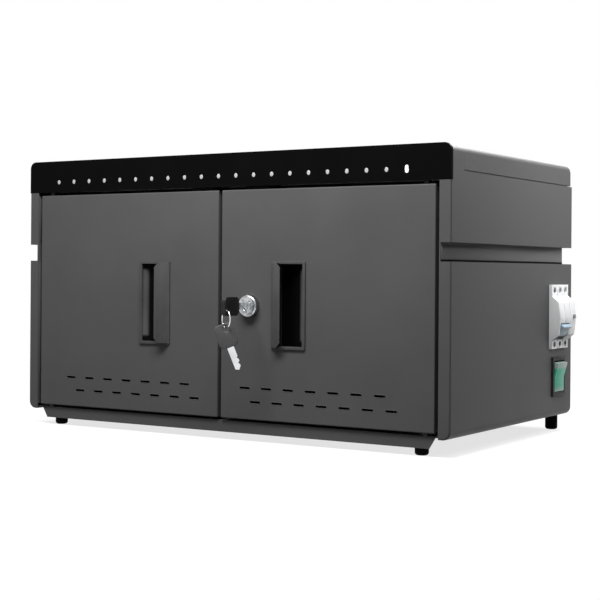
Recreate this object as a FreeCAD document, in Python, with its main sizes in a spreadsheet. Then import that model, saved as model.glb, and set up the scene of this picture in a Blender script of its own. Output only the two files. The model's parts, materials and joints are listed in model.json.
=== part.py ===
import FreeCAD, Part
import os

import Sketcher

# A desktop charging cabinet with upright bays behind two doors.
# Millimetres, +Z up, the front faces -Y. The origin is on the floor, in the middle of the sheet metal body.

# Driving dimensions: name, value, meaning.
DIMENSIONS = (
    ("body_width", 620, "width over the side panels"),
    ("body_depth", 356, "depth from the front plane to the rear panel"),
    ("body_height", 346, "floor to the top edge of the fascia"),
    ("foot_height", 20, "floor to the lower edge of the side panels"),
    ("sheet", 1.5, "thickness of all steel sheet"),
    ("fit_gap", 0.1, "clearance between pieces that are fixed together"),
    ("run_gap", 0.05, "radial clearance of a shaft that turns or slides"),
    ("bottom_bend", 9.5, "outer radius along the lower edge of a side panel"),
    ("bottom_flange", 13, "width of the flange under a side panel"),
    ("stile_width", 14.5, "width of the side panel's front flange"),
    ("stile_bend", 2, "outer radius of the side panel's front corner"),
    ("rear_flange", 29, "width of the side panel's rear flange"),
    ("groove_level", 215.5, "floor to the lower edge of the finger groove"),
    ("groove_height", 21.2, "height of the finger groove"),
    ("groove_depth", 13, "depth of the finger groove"),
    ("cover_drop", 25.5, "height of the top cover's lips"),
    ("cover_setback", 32, "front plane to the front edge of the top cover"),
    ("cover_bend", 6, "outer radius of the top cover's side bends"),
    ("cover_rear_bend", 10, "outer radius of the top cover's rear bend"),
    ("cover_tab", 14, "height of the tabs behind the top cover's lips"),
    ("seam_gap", 1.2, "top cover's lips to the side panels"),
    ("fascia_height", 41, "height of the fascia"),
    ("fascia_thickness", 4, "thickness of the fascia"),
    ("fascia_rise", 3, "how far the fascia stands above the top cover"),
    ("fascia_corner", 9, "radius of the fascia's upper corners"),
    ("lamp_first", 50.5, "left outer face to the first lamp"),
    ("bay_pitch", 25.725, "distance between lamps, and between bays"),
    ("lamp_radius", 1.75, "radius of a lamp lens"),
    ("lamp_level", 13.3, "fascia's lower edge to the lamps"),
    ("lamp_proud", 0.3, "how far a lens stands out of the fascia"),
    ("power_lamp_width", 5, "width of the power lamp"),
    ("power_lamp_height", 10, "height of the power lamp"),
    ("board", 1.6, "thickness of the circuit boards"),
    ("header_depth", 34, "depth of the header's lower flange"),
    ("skirt_recess", 5, "front plane to the skirt"),
    ("skirt_drop", 9, "floor to the lower edge of the skirt"),
    ("skirt_inset", 19.4, "side of the cabinet to the skirt's upper corner"),
    ("skirt_slant", 8.6, "sideways run of the skirt's slanted ends"),
    ("door_gap", 5, "gap beside and between the doors"),
    ("door_top_gap", 4, "gap between the doors and the fascia"),
    ("door_low_gap", 3.5, "gap between the doors and the base"),
    ("door_recess", 1, "front plane to the doors' faces"),
    ("door_depth", 20, "depth of a door pan"),
    ("door_lip", 12, "width of the lips at the back of a door"),
    ("door_round", 1.2, "radius of the doors' front edges"),
    ("hinge_inset", 14, "door edge to the hinge axis"),
    ("hinge_setback", 8, "door face to the hinge axis"),
    ("pin_radius", 3, "radius of a hinge pin"),
    ("pin_reach", 9, "length of the pin inside the bush"),
    ("collar_radius", 4, "radius of the collar below the pin"),
    ("bush_wall", 1.5, "wall of a hinge bush"),
    ("bush_flange", 1, "thickness of a bush's flange"),
    ("bush_flange_radius", 5.5, "radius of a bush's flange"),
    ("slot_length", 15, "length of a ventilation slot"),
    ("slot_height", 3, "height of a ventilation slot"),
    ("slot_pitch", 30.7, "distance between slots in a row"),
    ("slot_stagger", 15.2, "sideways shift between the two rows"),
    ("slot_row", 16.4, "distance between the two rows"),
    ("slot_level", 21, "door's lower edge to the lower row"),
    ("slot_margin", 53.5, "hinge edge to the outermost slot"),
    ("handle_offset", 99.25, "middle of the cabinet to a handle"),
    ("handle_width", 47.5, "width of a handle's frame"),
    ("handle_height", 104, "height of a handle's frame"),
    ("handle_frame", 2, "thickness of a handle's frame"),
    ("handle_wall", 1.8, "wall of a handle cup"),
    ("cup_start", 4.6, "frame edge to the cup's hollow, free side"),
    ("cup_width", 39, "width of the cup's hollow"),
    ("cup_height", 96.6, "height of the cup's hollow"),
    ("cup_depth", 15, "depth of the cup's hollow behind the door face"),
    ("cup_flat", 14, "width of the flat floor of the cup"),
    ("hood_width", 16.3, "width of the raised grip"),
    ("hood_rise", 8, "how far the grip stands above the frame"),
    ("hood_bend", 6.5, "root of the grip to its bend"),
    ("hood_crown", 1.5, "how far the grip rises behind its bend"),
    ("hood_corner", 6, "bevel of the grip's corners"),
    ("lock_offset", 45, "middle of the cabinet to the lock"),
    ("lock_drop", 1.5, "middle of the doors to the lock's axis"),
    ("lock_bezel_radius", 13.2, "radius of the lock's bezel"),
    ("lock_bezel_rise", 8, "how far the bezel stands out of the door"),
    ("lock_chamfer", 1.5, "bevel of the bezel"),
    ("lock_barrel_radius", 9, "radius of the threaded lock barrel"),
    ("lock_plug_radius", 6, "radius of the lock plug"),
    ("lock_nut_width", 14, "corner radius of the lock nut"),
    ("lock_nut_height", 5, "height of the lock nut"),
    ("cam_clearance", 1, "gap between the doors' backs and the cam"),
    ("cam_thickness", 2, "thickness of the cam"),
    ("cam_reach", 52, "lock axis to the cam's end"),
    ("cam_width", 16, "width of the cam"),
    ("cam_square", 7, "side of the plug's square end"),
    ("key_out", 48, "front plane to the hole in the key's bow"),
    ("key_hole_radius", 3.6, "radius of the hole in the bow"),
    ("key_hole_edge", 6.5, "end of the bow to its hole"),
    ("key_hole_drop", 3.25, "key axis to the hole"),
    ("bow_length", 28.5, "length of the bow"),
    ("bow_height", 22, "width of the bow"),
    ("bow_thickness", 6, "thickness of the bow"),
    ("bow_round", 6, "corner radius of the bow"),
    ("blade_length", 28, "length of the key blade"),
    ("blade_height", 8, "width of the key blade"),
    ("blade_thickness", 2.2, "thickness of the key blade"),
    ("keyway_gap", 0.2, "clearance of the blade in the keyway"),
    ("keyway_depth", 14, "depth of the keyway"),
    ("ring_radius", 10.2, "radius of the key ring at its wire's centre"),
    ("ring_wire", 0.8, "radius of the ring's wire"),
    ("ring_sit", 1, "hole's centre to the wire that passes through it"),
    ("bolt_offset", 22, "middle of the cabinet to the left door's bolts"),
    ("bolt_radius", 3, "radius of a door bolt"),
    ("bolt_length", 84, "length of a door bolt"),
    ("bolt_setback", 11, "door face to the bolts' axis"),
    ("bolt_hole_gap", 0.3, "clearance of a bolt in its strike hole"),
    ("guide_width", 14, "width of a bolt guide"),
    ("guide_height", 6, "height of a bolt guide"),
    ("guide_first", 26, "end of a bolt to its first guide"),
    ("guide_pitch", 36, "distance between the two guides of a bolt"),
    ("knob_level", 50, "end of a bolt to its knob"),
    ("knob_length", 13, "length of a bolt's knob"),
    ("catch_offset", 40, "middle of the cabinet to a magnetic catch"),
    ("catch_width", 34, "width of a magnetic catch"),
    ("catch_depth", 14, "depth of a magnetic catch"),
    ("catch_height", 20, "height of a magnetic catch"),
    ("catch_gap", 0.3, "gap between a catch and the door"),
    ("mat_thickness", 3, "thickness of the padded floor mat"),
    ("deck_drop", 43, "header to the underside of the charger deck"),
    ("bay_front", 46, "front plane to the dividers"),
    ("fan_clearance", 10, "gap between the dividers and the fans"),
    ("duct_gap", 4, "least gap between the last divider and the wiring duct"),
    ("duct_width", 63.5, "right side to the wiring duct's cover"),
    ("duct_flange", 46, "width of the wiring duct's front flange"),
    ("deck_front", 38, "front plane to the charger deck"),
    ("deck_clearance", 28.5, "rear panel to the charger deck"),
    ("deck_upstand", 41, "height of the port panel above the deck's underside"),
    ("standoff_height", 3, "height of a board stand-off"),
    ("standoff_radius", 3, "radius of a board stand-off"),
    ("charger_depth", 60, "depth of the charger board"),
    ("port_width", 5.8, "width of a charging port"),
    ("port_height", 13.4, "height of a charging port"),
    ("port_depth", 14.6, "depth of a charging port"),
    ("port_wall", 0.5, "wall of a charging port"),
    ("port_tongue", 1.9, "thickness of a port's tongue"),
    ("port_clearance", 0.4, "clearance around a port in the panel"),
    ("supply_width", 190, "width of a power supply"),
    ("supply_depth", 100, "depth of a power supply"),
    ("supply_height", 40, "height of a power supply"),
    ("supply_offset", 115, "middle of the cabinet to a power supply"),
    ("supply_front", 130, "front plane to the power supplies"),
    ("foot_radius", 8, "radius of a foot under the base"),
    ("foot_base_radius", 6.6, "radius of a foot on the floor"),
    ("front_foot_inset", 42.7, "side to the front feet"),
    ("front_foot_setback", 17, "front plane to the front feet"),
    ("rear_foot_inset", 21.5, "side to the rear feet"),
    ("rear_foot_setback", 12, "rear to the rear feet"),
    ("foot_bore", 4.2, "radius of the recess in a foot"),
    ("foot_recess", 12, "depth of that recess"),
    ("screw_radius", 2, "radius of a screw's shank"),
    ("screw_head_radius", 3.8, "radius of a screw's head"),
    ("screw_head_height", 2.2, "height of a screw's head"),
    ("screw_length", 8, "length of a panel screw's shank"),
    ("panel_screw_inset", 23, "side to the rear panel's screws"),
    ("cover_screw_level", 6.5, "lip's edge to the top cover's screws"),
    ("cover_screw_pitch", 146, "distance between the top cover's screws"),
    ("breaker_back", 21, "rear to the breaker"),
    ("breaker_level", 108, "floor to the breaker"),
    ("breaker_height", 81, "height of the breaker"),
    ("module_width", 18, "width of one breaker module"),
    ("breaker_shoulder", 4, "how far the breaker's shoulders stand out"),
    ("breaker_nose", 15.5, "how far the breaker's nose stands out"),
    ("nose_height", 56, "height of the nose at its root"),
    ("nose_slope", 7, "height lost on each slope of the nose"),
    ("nose_drop", 2, "middle of the breaker to the middle of its nose"),
    ("nose_crown", 3, "how far the middle of the nose stands above its ends"),
    ("module_groove", 0.8, "width of the seam between modules"),
    ("terminal_radius", 4, "radius of a terminal's opening"),
    ("toggle_radius", 6.5, "radius of the toggle's drum"),
    ("toggle_reach", 13, "toggle axis to the toggle's end"),
    ("toggle_thickness", 5, "thickness of the toggle"),
    ("toggle_inset", 9, "nose face to the toggle's axis"),
    ("toggle_slot", 21, "height of the toggle's slot"),
    ("toggle_drop", 18.5, "middle of the breaker to the toggle's axis"),
    ("toggle_margin", 0.4, "clearance beside the toggle"),
    ("toggle_edge", 3.5, "side of the breaker to the toggle's slot"),
    ("trunnion_radius", 2, "radius of the toggle's and the rocker's trunnions"),
    ("trunnion_length", 2, "length of the trunnions"),
    ("test_button_radius", 2.6, "radius of the breaker's test button"),
    ("test_button_rise", 2, "how far the test button stands out"),
    ("test_button_depth", 5, "depth of the test button's hole"),
    ("test_button_travel", 1.5, "room behind the test button"),
    ("rail_height", 35, "height of the breaker rail"),
    ("rail_depth", 7.5, "depth of the breaker rail"),
    ("rail_length", 70, "length of the breaker rail"),
    ("switch_back", 24, "rear to the switch bezel"),
    ("switch_level", 72, "floor to the middle of the switch"),
    ("switch_width", 42, "width of the switch bezel"),
    ("switch_height", 50, "height of the switch bezel"),
    ("switch_bezel", 2.5, "thickness of the switch bezel"),
    ("switch_rim", 2.6, "bezel's edge to the switch housing"),
    ("switch_wall", 2.4, "wall of the switch housing"),
    ("switch_depth", 30, "depth of the switch housing"),
    ("rocker_gap", 0.4, "clearance beside the rocker"),
    ("rocker_half", 18.4, "half the height of the rocker"),
    ("rocker_rise", 7, "pivot to the rocker's ends"),
    ("rocker_dish", 2.5, "depth of the rocker's hollow face"),
    ("rocker_back", 7, "pivot to the rocker's back"),
    ("rocker_inset", 2, "side of the cabinet to the rocker's pivot"),
    ("inlet_inset", 64, "right side to the middle of the mains inlet"),
    ("inlet_plate_width", 66, "width of the plate that holds the inlet"),
    ("inlet_plate_height", 86, "height of the plate that holds the inlet"),
    ("inlet_plate_lap", 9, "how far that plate laps over the rear panel"),
    ("inlet_level", 70, "floor to the middle of the mains inlet"),
    ("inlet_width", 28, "width of the inlet's flange"),
    ("inlet_height", 50, "height of the inlet's flange"),
    ("inlet_flange", 3, "thickness of the inlet's flange"),
    ("inlet_body_width", 20, "width of the inlet's body"),
    ("inlet_body_height", 28, "height of the inlet's body"),
    ("inlet_wall", 1.6, "wall of the inlet"),
    ("inlet_depth", 18, "depth of the inlet's hollow"),
    ("inlet_pin_length", 12, "length of an inlet pin"),
    ("inlet_pin_width", 2, "thickness of an inlet pin"),
    ("inlet_pin_height", 4, "width of an inlet pin"),
    ("inlet_pin_pitch", 7, "distance between inlet pins"),
    ("fan_offset", 130, "middle of the cabinet to a fan"),
    ("fan_level", 140, "floor to the fans' axes"),
    ("fan_size", 80, "side of a fan frame"),
    ("fan_depth", 25, "depth of a fan frame"),
    ("fan_bore", 38, "radius of the opening of a fan"),
    ("fan_screw_pitch", 71.5, "distance between the screws of a fan"),
    ("fan_hub", 16, "radius of a fan's hub"),
    ("fan_tip", 36.5, "radius over a fan's blades"),
    ("fan_strut", 4, "width of a fan's struts"),
    ("fan_axle", 2, "radius of a fan's axle"),
    ("blade_chord", 15, "chord of a fan blade"),
    ("blade_sheet", 1.6, "thickness of a fan blade"),
    ("guard_wire", 1.8, "width of a finger guard's rings"),
    ("guard_thickness", 1.6, "thickness of a finger guard"),
    ("guard_pitch", 9, "distance between a finger guard's rings"),
)

SLOTS_IN_A_ROW = 7
FAN_BLADES = 7
GUARD_RINGS = 4
BLADE_PITCH_DEG = 35
RING_YAW_DEG = -27.6
SPARE_YAW_DEG = 122.4
SPARE_ROLL_DEG = -112
TOGGLE_REST_DEG = -35
ROCKER_REST_DEG = 8
HALF_DIAGONAL = 0.7071
RAIL_ROOT_SHARE = 0.7


class Size:
    """A length that carries its spreadsheet formula beside its present value."""

    def __init__(self, formula, value):
        self.formula = formula
        self.value = value

    def __add__(self, other):
        other = as_size(other)
        return Size(f"({self.formula} + {other.formula})", self.value + other.value)

    def __sub__(self, other):
        other = as_size(other)
        return Size(f"({self.formula} - {other.formula})", self.value - other.value)

    def __mul__(self, factor):
        return Size(f"({self.formula} * {factor})", self.value * factor)

    def __truediv__(self, divisor):
        return Size(f"({self.formula} / {divisor})", self.value / divisor)

    def __neg__(self):
        return Size(f"(-{self.formula})", -self.value)

    def __radd__(self, other):
        return as_size(other) + self

    def __rsub__(self, other):
        return as_size(other) - self

    __rmul__ = __mul__


def as_size(length):
    """A plain number as a Size, so that both can be mixed."""
    if isinstance(length, Size):
        return length
    return Size(str(length), length)


doc = FreeCAD.newDocument("ChargingCabinet")
table = doc.addObject("Spreadsheet::Sheet", "Sizes")
for row, (alias, number, meaning) in enumerate(DIMENSIONS, start=1):
    table.set(f"A{row}", meaning)
    table.set(f"B{row}", str(number))
    table.setAlias(f"B{row}", alias)
doc.recompute()


class Sizes:
    """The driving dimensions, read back from the sheet by name."""


d = Sizes()
for alias, number, meaning in DIMENSIONS:
    setattr(d, alias, Size(f"Sizes.{alias}", float(table.get(alias))))

# Planes and levels that several pieces share.
SIDE = d.body_width / 2
FRONT = -d.body_depth / 2
REAR = d.body_depth / 2
WALL_IN = SIDE - d.sheet
STILE_IN = SIDE - d.stile_width
STILE_BACK = FRONT + d.sheet
GROOVE_FLOOR = SIDE - d.groove_depth
GROOVE_TOP = d.groove_level + d.groove_height
BASE_LOW = d.foot_height + d.sheet
BASE_TOP = BASE_LOW + d.sheet
BASE_SIDE = SIDE - d.bottom_bend - d.fit_gap
COVER_TOP = d.body_height - d.fascia_rise
SEAM = COVER_TOP - d.cover_drop
SIDE_TOP = SEAM - d.seam_gap
TAB_OUT = WALL_IN - d.fit_gap
TAB_TOP = SEAM + d.cover_tab
COVER_FRONT = FRONT + d.cover_setback
FASCIA_LOW = d.body_height - d.fascia_height
FASCIA_BACK = FRONT + d.fascia_thickness
HEADER_BACK = FASCIA_BACK + d.sheet
LAMP_Z = FASCIA_LOW + d.lamp_level
DOOR_FRONT = FRONT + d.door_recess
DOOR_SKIN = DOOR_FRONT + d.sheet
DOOR_REAR = DOOR_FRONT + d.door_depth
DOOR_EDGE = STILE_IN - d.door_gap
DOOR_FREE = d.door_gap / 2
DOOR_LOW = BASE_TOP + d.door_low_gap
DOOR_TOP = FASCIA_LOW - d.door_top_gap
DOOR_MID = (DOOR_LOW + DOOR_TOP) / 2
LOCK_Z = DOOR_MID - d.lock_drop
HINGE_X = DOOR_EDGE - d.hinge_inset
HINGE_Y = DOOR_FRONT + d.hinge_setback
BUSH_RADIUS = d.pin_radius + d.run_gap + d.bush_wall
BOLT_Y = DOOR_FRONT + d.bolt_setback
MAT_TOP = BASE_TOP + d.mat_thickness
DECK_LOW = FASCIA_LOW - d.deck_drop
DECK_TOP = DECK_LOW + d.sheet
DECK_FRONT = FRONT + d.deck_front
BOARD_LOW = DECK_TOP + d.standoff_height
BOARD_TOP = BOARD_LOW + d.board
REAR_IN = REAR - d.sheet
BACK = REAR_IN
BACK_IN = BACK - d.sheet
FAN_FRONT = BACK_IN - d.fan_depth
DECK_REAR = REAR_IN - d.deck_clearance
BAY_FRONT = FRONT + d.bay_front
BAY_REAR = FAN_FRONT - d.fan_clearance
FIRST_LAMP = d.lamp_first - SIDE
FIRST_DIVIDER = FIRST_LAMP - d.bay_pitch / 2
DUCT = SIDE - d.duct_width
CAM_FRONT = DOOR_REAR + d.cam_clearance
CAM_BACK = CAM_FRONT + d.cam_thickness
LOCK_FACE = DOOR_FRONT - d.lock_bezel_rise
KEY_HOLE_Y = FRONT - d.key_out
KEY_HOLE_Z = LOCK_Z - d.key_hole_drop
RING_Z = KEY_HOLE_Z - d.ring_sit - d.ring_radius
BREAKER_WIDTH = d.module_width * 3
BREAKER_Y = REAR - d.breaker_back - BREAKER_WIDTH
BREAKER_MID = d.breaker_level + d.breaker_height / 2
RAIL_OUT = DUCT + d.sheet + d.rail_depth
SWITCH_Y = REAR - d.switch_back - d.switch_width
INLET_X = SIDE - d.inlet_inset

# As many bays as the width leaves room for beside the wiring duct.
BAYS = int((DUCT - d.duct_gap - FIRST_DIVIDER).value / d.bay_pitch.value)

kept = {}


def keep(label, thing):
    """Names a finished sub-part and puts it on the list of files."""
    thing.Label = label
    kept[label] = thing
    return thing


def bind(thing, name, length):
    """Ties one property to the sheet."""
    thing.setExpression(name, as_size(length).formula)


def place(thing, x, y, z):
    """Ties the place of an object to the sheet."""
    for axis, length in zip("xyz", (x, y, z)):
        bind(thing, f"Placement.Base.{axis}", length)
    return thing


def box(x, y, z):
    """A block between two values on each axis."""
    block = doc.addObject("Part::Box", "Block")
    for name, (low, high) in zip(("Length", "Width", "Height"), (x, y, z)):
        bind(block, name, as_size(high) - low)
    return place(block, x[0], y[0], z[0])


ALONG = {
    "x": FreeCAD.Rotation(FreeCAD.Vector(0, 1, 0), 90),
    "y": FreeCAD.Rotation(FreeCAD.Vector(1, 0, 0), -90),
    "z": FreeCAD.Rotation(),
}


def stand(thing, axis, start, at):
    """Points an upright primitive along an axis, from start. The pair at holds its other two coordinates."""
    thing.Placement = FreeCAD.Placement(FreeCAD.Vector(), ALONG[axis])
    spots = list(at)
    spots.insert("xyz".index(axis), start)
    return place(thing, *spots)


def rod(axis, start, end, radius, at):
    """A round bar along one axis."""
    bar = doc.addObject("Part::Cylinder", "Rod")
    bind(bar, "Radius", radius)
    bind(bar, "Height", as_size(end) - start)
    return stand(bar, axis, start, at)


def taper(axis, start, end, first_radius, last_radius, at):
    """A round bar whose radius changes from one end to the other."""
    bar = doc.addObject("Part::Cone", "Taper")
    bind(bar, "Radius1", first_radius)
    bind(bar, "Radius2", last_radius)
    bind(bar, "Height", as_size(end) - start)
    return stand(bar, axis, start, at)


def group(pieces):
    """Separate solids that share a name."""
    together = doc.addObject("Part::Compound", "Group")
    together.Links = list(pieces)
    return together


def fuse(*pieces):
    """Solids joined to one."""
    joined = doc.addObject("Part::MultiFuse", "Joined")
    joined.Shapes = list(pieces)
    joined.Refine = True
    return joined


def cut(base, *tools):
    """A solid with others taken away, none of which overlap each other."""
    result = doc.addObject("Part::Cut", "Cut")
    result.Base = base
    result.Tool = tools[0] if len(tools) == 1 else group(tools)
    return result


def copy_at(source, x, y, z, turn=None):
    """A copy of a piece that was made at the origin."""
    link = doc.addObject("App::Link", "Copy")
    link.LinkedObject = source
    if turn:
        link.Placement = FreeCAD.Placement(FreeCAD.Vector(), turn)
    return place(link, x, y, z)


def mirrored(source):
    """The left-hand form of a right-hand piece."""
    mirror = doc.addObject("Part::Mirroring", "Mirror")
    mirror.Source = source
    mirror.Normal = FreeCAD.Vector(1, 0, 0)
    return mirror


def new_body():
    """An empty body for sketched features."""
    return doc.addObject("PartDesign::Body", "Body")


def fix(sketch, number, point, x, y):
    """Ties one point of a sketch to the sheet."""
    for kind, length in (("DistanceX", x), ("DistanceY", y)):
        length = as_size(length)
        index = sketch.addConstraint(Sketcher.Constraint(kind, -1, 1, number, point, length.value))
        sketch.setExpression(f"Constraints[{index}]", length.formula)


def tie_radius(sketch, number, radius):
    """Ties the radius of an arc or circle to the sheet."""
    radius = as_size(radius)
    index = sketch.addConstraint(Sketcher.Constraint("Radius", number, radius.value))
    sketch.setExpression(f"Constraints[{index}]", radius.formula)


def polygon(*points):
    """An outline of straight lines, for a sketch."""

    def draw(sketch):
        flat = [FreeCAD.Vector(as_size(x).value, as_size(y).value, 0) for x, y in points]
        count = len(flat)
        first = sketch.GeometryCount
        for i in range(count):
            sketch.addGeometry(Part.LineSegment(flat[i], flat[(i + 1) % count]), False)
        for i in range(count):
            sketch.addConstraint(Sketcher.Constraint("Coincident", first + i, 2, first + (i + 1) % count, 1))
        for i, (x, y) in enumerate(points):
            fix(sketch, first + i, 1, x, y)

    return draw


def rectangle(x, y):
    """An upright rectangle between two values on each axis, for a sketch."""
    return polygon((x[0], y[0]), (x[1], y[0]), (x[1], y[1]), (x[0], y[1]))


def circle(x, y, radius):
    """A circle, for a sketch."""

    def draw(sketch):
        number = sketch.GeometryCount
        middle = FreeCAD.Vector(as_size(x).value, as_size(y).value, 0)
        sketch.addGeometry(Part.Circle(middle, FreeCAD.Vector(0, 0, 1), as_size(radius).value), False)
        tie_radius(sketch, number, radius)
        fix(sketch, number, 3, x, y)

    return draw


def long_slot(x, y, length, width, upright=False):
    """A slot with round ends, level or upright, for a sketch."""

    def draw(sketch):
        radius = width / 2
        reach = (length - width) / 2
        quarter = 1.5707963
        axis = FreeCAD.Vector(0, 0, 1)
        if upright:
            centres = ((x, y - reach), (x, y + reach))
            across = FreeCAD.Vector(-radius.value, 0, 0)
            turn = quarter
        else:
            centres = ((x - reach, y), (x + reach, y))
            across = FreeCAD.Vector(0, radius.value, 0)
            turn = 0
        start, end = [FreeCAD.Vector(a.value, b.value, 0) for a, b in centres]
        first = sketch.GeometryCount
        for middle, low in ((start, turn + quarter), (end, turn - quarter)):
            bend = Part.ArcOfCircle(Part.Circle(middle, axis, radius.value), low, low + 2 * quarter)
            sketch.addGeometry(bend, False)
            one, two = (start - across, end - across) if middle is start else (end + across, start + across)
            sketch.addGeometry(Part.LineSegment(one, two), False)
        for i in range(4):
            sketch.addConstraint(Sketcher.Constraint("Tangent", first + i, 2, first + (i + 1) % 4, 1))
        for number, centre in ((first, centres[0]), (first + 2, centres[1])):
            tie_radius(sketch, number, radius)
            fix(sketch, number, 3, *centre)

    return draw


PLANES = {"xy": ("XY_Plane", 1), "xz": ("XZ_Plane", -1), "yz": ("YZ_Plane", 1)}


def sketch_on(body, plane, outlines, level):
    """A sketch parallel to one of the body's own planes, at a level along the axis that crosses it."""
    role, direction = PLANES[plane]
    sketch = body.newObject("Sketcher::SketchObject", "Outline")
    support = [f for f in body.Origin.OriginFeatures if f.Role == role]
    sketch.AttachmentSupport = [(support[0], "")]
    sketch.MapMode = "FlatFace"
    bind(sketch, "AttachmentOffset.Base.z", as_size(level) * direction)
    for draw in outlines:
        draw(sketch)
    return sketch


def pad(body, plane, low, high, *outlines):
    """Adds a plate of the given outline between two levels."""
    level = high if plane == "xz" else low
    feature = body.newObject("PartDesign::Pad", "Plate")
    feature.Profile = sketch_on(body, plane, outlines, level)
    bind(feature, "Length", as_size(high) - low)
    body.Tip = feature
    return feature


def pocket(body, plane, low, high, *outlines):
    """Takes away the given outline between two levels."""
    level = low if plane == "xz" else high
    feature = body.newObject("PartDesign::Pocket", "Opening")
    feature.Profile = sketch_on(body, plane, outlines, level)
    bind(feature, "Length", as_size(high) - low)
    body.Tip = feature
    return feature


def repeat(body, feature, pitch, count):
    """Repeats a sketched feature along its sketch's level axis."""
    row = body.newObject("PartDesign::LinearPattern", "Row")
    row.Originals = [feature]
    row.Direction = (feature.Profile[0], ["H_Axis"])
    row.Mode = "Spacing"
    bind(row, "Offset", pitch)
    row.Occurrences = count
    body.Tip = row
    return row


def along(edge, axis):
    """True for a straight edge that runs along one axis."""
    if edge.Curve.TypeId != "Part::GeomLine":
        return False
    return abs(getattr(edge.Curve.Direction, axis)) > 0.999


def soften(body, radius, axis, *spots):
    """Rounds the edges along one axis that pass through the given coordinates."""
    doc.recompute()
    base = body.Tip
    others = [letter for letter in "xyz" if letter != axis]
    names = []
    for number, edge in enumerate(base.Shape.Edges, start=1):
        if not along(edge, axis):
            continue
        middle = edge.CenterOfMass
        for spot in spots:
            offsets = [abs(getattr(middle, o) - as_size(s).value) for o, s in zip(others, spot)]
            if max(offsets) < 0.01:
                names.append(f"Edge{number}")
    bend = body.newObject("PartDesign::Fillet", "Bend")
    bend.Base = (base, names)
    bind(bend, "Radius", radius)
    body.Tip = bend
    return bend


def lamp_x(number):
    """The place of a lamp, which is also the middle of its bay."""
    return FIRST_LAMP + d.bay_pitch * number


def side_panel():
    """The right side: wall, finger groove, front stile, rear flange and the tab behind the cover's lip."""
    body = new_body()
    groove_in = GROOVE_FLOOR - d.sheet
    pad(body, "xz", STILE_BACK, REAR, polygon(
        (SIDE - d.bottom_flange, d.foot_height), (SIDE, d.foot_height),
        (SIDE, d.groove_level), (GROOVE_FLOOR, d.groove_level),
        (GROOVE_FLOOR, GROOVE_TOP), (SIDE, GROOVE_TOP), (SIDE, SIDE_TOP), (WALL_IN, SIDE_TOP),
        (WALL_IN, GROOVE_TOP + d.sheet), (groove_in, GROOVE_TOP + d.sheet),
        (groove_in, d.groove_level - d.sheet), (WALL_IN, d.groove_level - d.sheet),
        (WALL_IN, BASE_LOW), (SIDE - d.bottom_flange, BASE_LOW),
    ))
    pad(body, "xz", FRONT, STILE_BACK, polygon(
        (STILE_IN, d.foot_height), (SIDE, d.foot_height),
        (SIDE, d.groove_level), (GROOVE_FLOOR, d.groove_level),
        (GROOVE_FLOOR, GROOVE_TOP), (SIDE, GROOVE_TOP), (SIDE, FASCIA_LOW), (STILE_IN, FASCIA_LOW),
    ))
    in_wall = SIDE - d.sheet / 2
    above = (FASCIA_LOW, SEAM + d.sheet)
    pocket(body, "xz", FRONT, FASCIA_BACK, rectangle((WALL_IN - d.sheet, SIDE + d.sheet), above))
    ear_back = COVER_FRONT - d.fit_gap
    pad(body, "xz", FASCIA_BACK, ear_back, polygon(
        (WALL_IN, SIDE_TOP - d.sheet), (SIDE, SIDE_TOP - d.sheet), (SIDE, COVER_TOP),
        (SIDE - d.bottom_flange, COVER_TOP), (SIDE - d.bottom_flange, COVER_TOP - d.sheet),
        (WALL_IN, COVER_TOP - d.sheet),
    ))
    tab_in = TAB_OUT - d.sheet
    pad(body, "xz", COVER_FRONT, REAR - d.rear_flange / 2, polygon(
        (tab_in, SIDE_TOP - d.sheet), (in_wall, SIDE_TOP - d.sheet), (in_wall, SIDE_TOP),
        (TAB_OUT, SIDE_TOP), (TAB_OUT, TAB_TOP), (tab_in, TAB_TOP),
    ))
    flange_low = BASE_TOP + d.sheet * 2
    flange = (SIDE - d.rear_flange, in_wall)
    below_groove = (flange_low, d.groove_level - d.sheet / 2)
    above_groove = (GROOVE_TOP + d.sheet / 2, SIDE_TOP - d.sheet)
    for height in (below_groove, above_groove):
        pad(body, "xz", REAR_IN, REAR, rectangle(flange, height))
    soften(body, d.bottom_bend - d.sheet, "y", (WALL_IN, BASE_LOW))
    soften(body, d.bottom_bend, "y", (SIDE, d.foot_height))
    soften(body, d.cover_bend - d.sheet, "y", (WALL_IN, COVER_TOP - d.sheet))
    soften(body, d.cover_bend, "y", (SIDE, COVER_TOP))
    soften(body, d.stile_bend, "z", (SIDE, FRONT))
    return body


def rear_screw_places():
    """Heights of the rear panel's screws, clear of the finger groove."""
    low = d.foot_height + d.rear_flange
    high = SEAM - d.rear_flange
    return (low, d.groove_level - d.rear_flange * 3, d.groove_level - d.rear_flange, high)


def side_panels():
    """The left panel is plain. The right one has the cut-outs of the breaker and the switch."""
    left = mirrored(side_panel())
    through = (WALL_IN - d.sheet, SIDE + d.sheet)
    breaker = box(
        through,
        (BREAKER_Y - d.fit_gap, BREAKER_Y + BREAKER_WIDTH + d.fit_gap),
        (d.breaker_level - d.fit_gap, d.breaker_level + d.breaker_height + d.fit_gap),
    )
    rim = d.switch_rim - d.fit_gap
    half = d.switch_height / 2 - rim
    switch = box(
        through,
        (SWITCH_Y + rim, SWITCH_Y + d.switch_width - rim),
        (d.switch_level - half, d.switch_level + half),
    )
    right = cut(side_panel(), breaker, switch)
    middle = SIDE - d.panel_screw_inset
    for label, panel, x in (("left_side_panel", left, -middle), ("right_side_panel", right, middle)):
        holes = [
            rod("y", BACK_IN, REAR + d.sheet, d.screw_radius + d.fit_gap, (x, z))
            for z in rear_screw_places()
        ]
        keep(label, cut(panel, *holes))


def foot_places():
    """Centres of the four feet."""
    front = (SIDE - d.front_foot_inset, FRONT + d.front_foot_setback)
    rear = (SIDE - d.rear_foot_inset, REAR - d.rear_foot_setback)
    return [(x * side, y) for x, y in (front, rear) for side in (-1, 1)]


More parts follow.
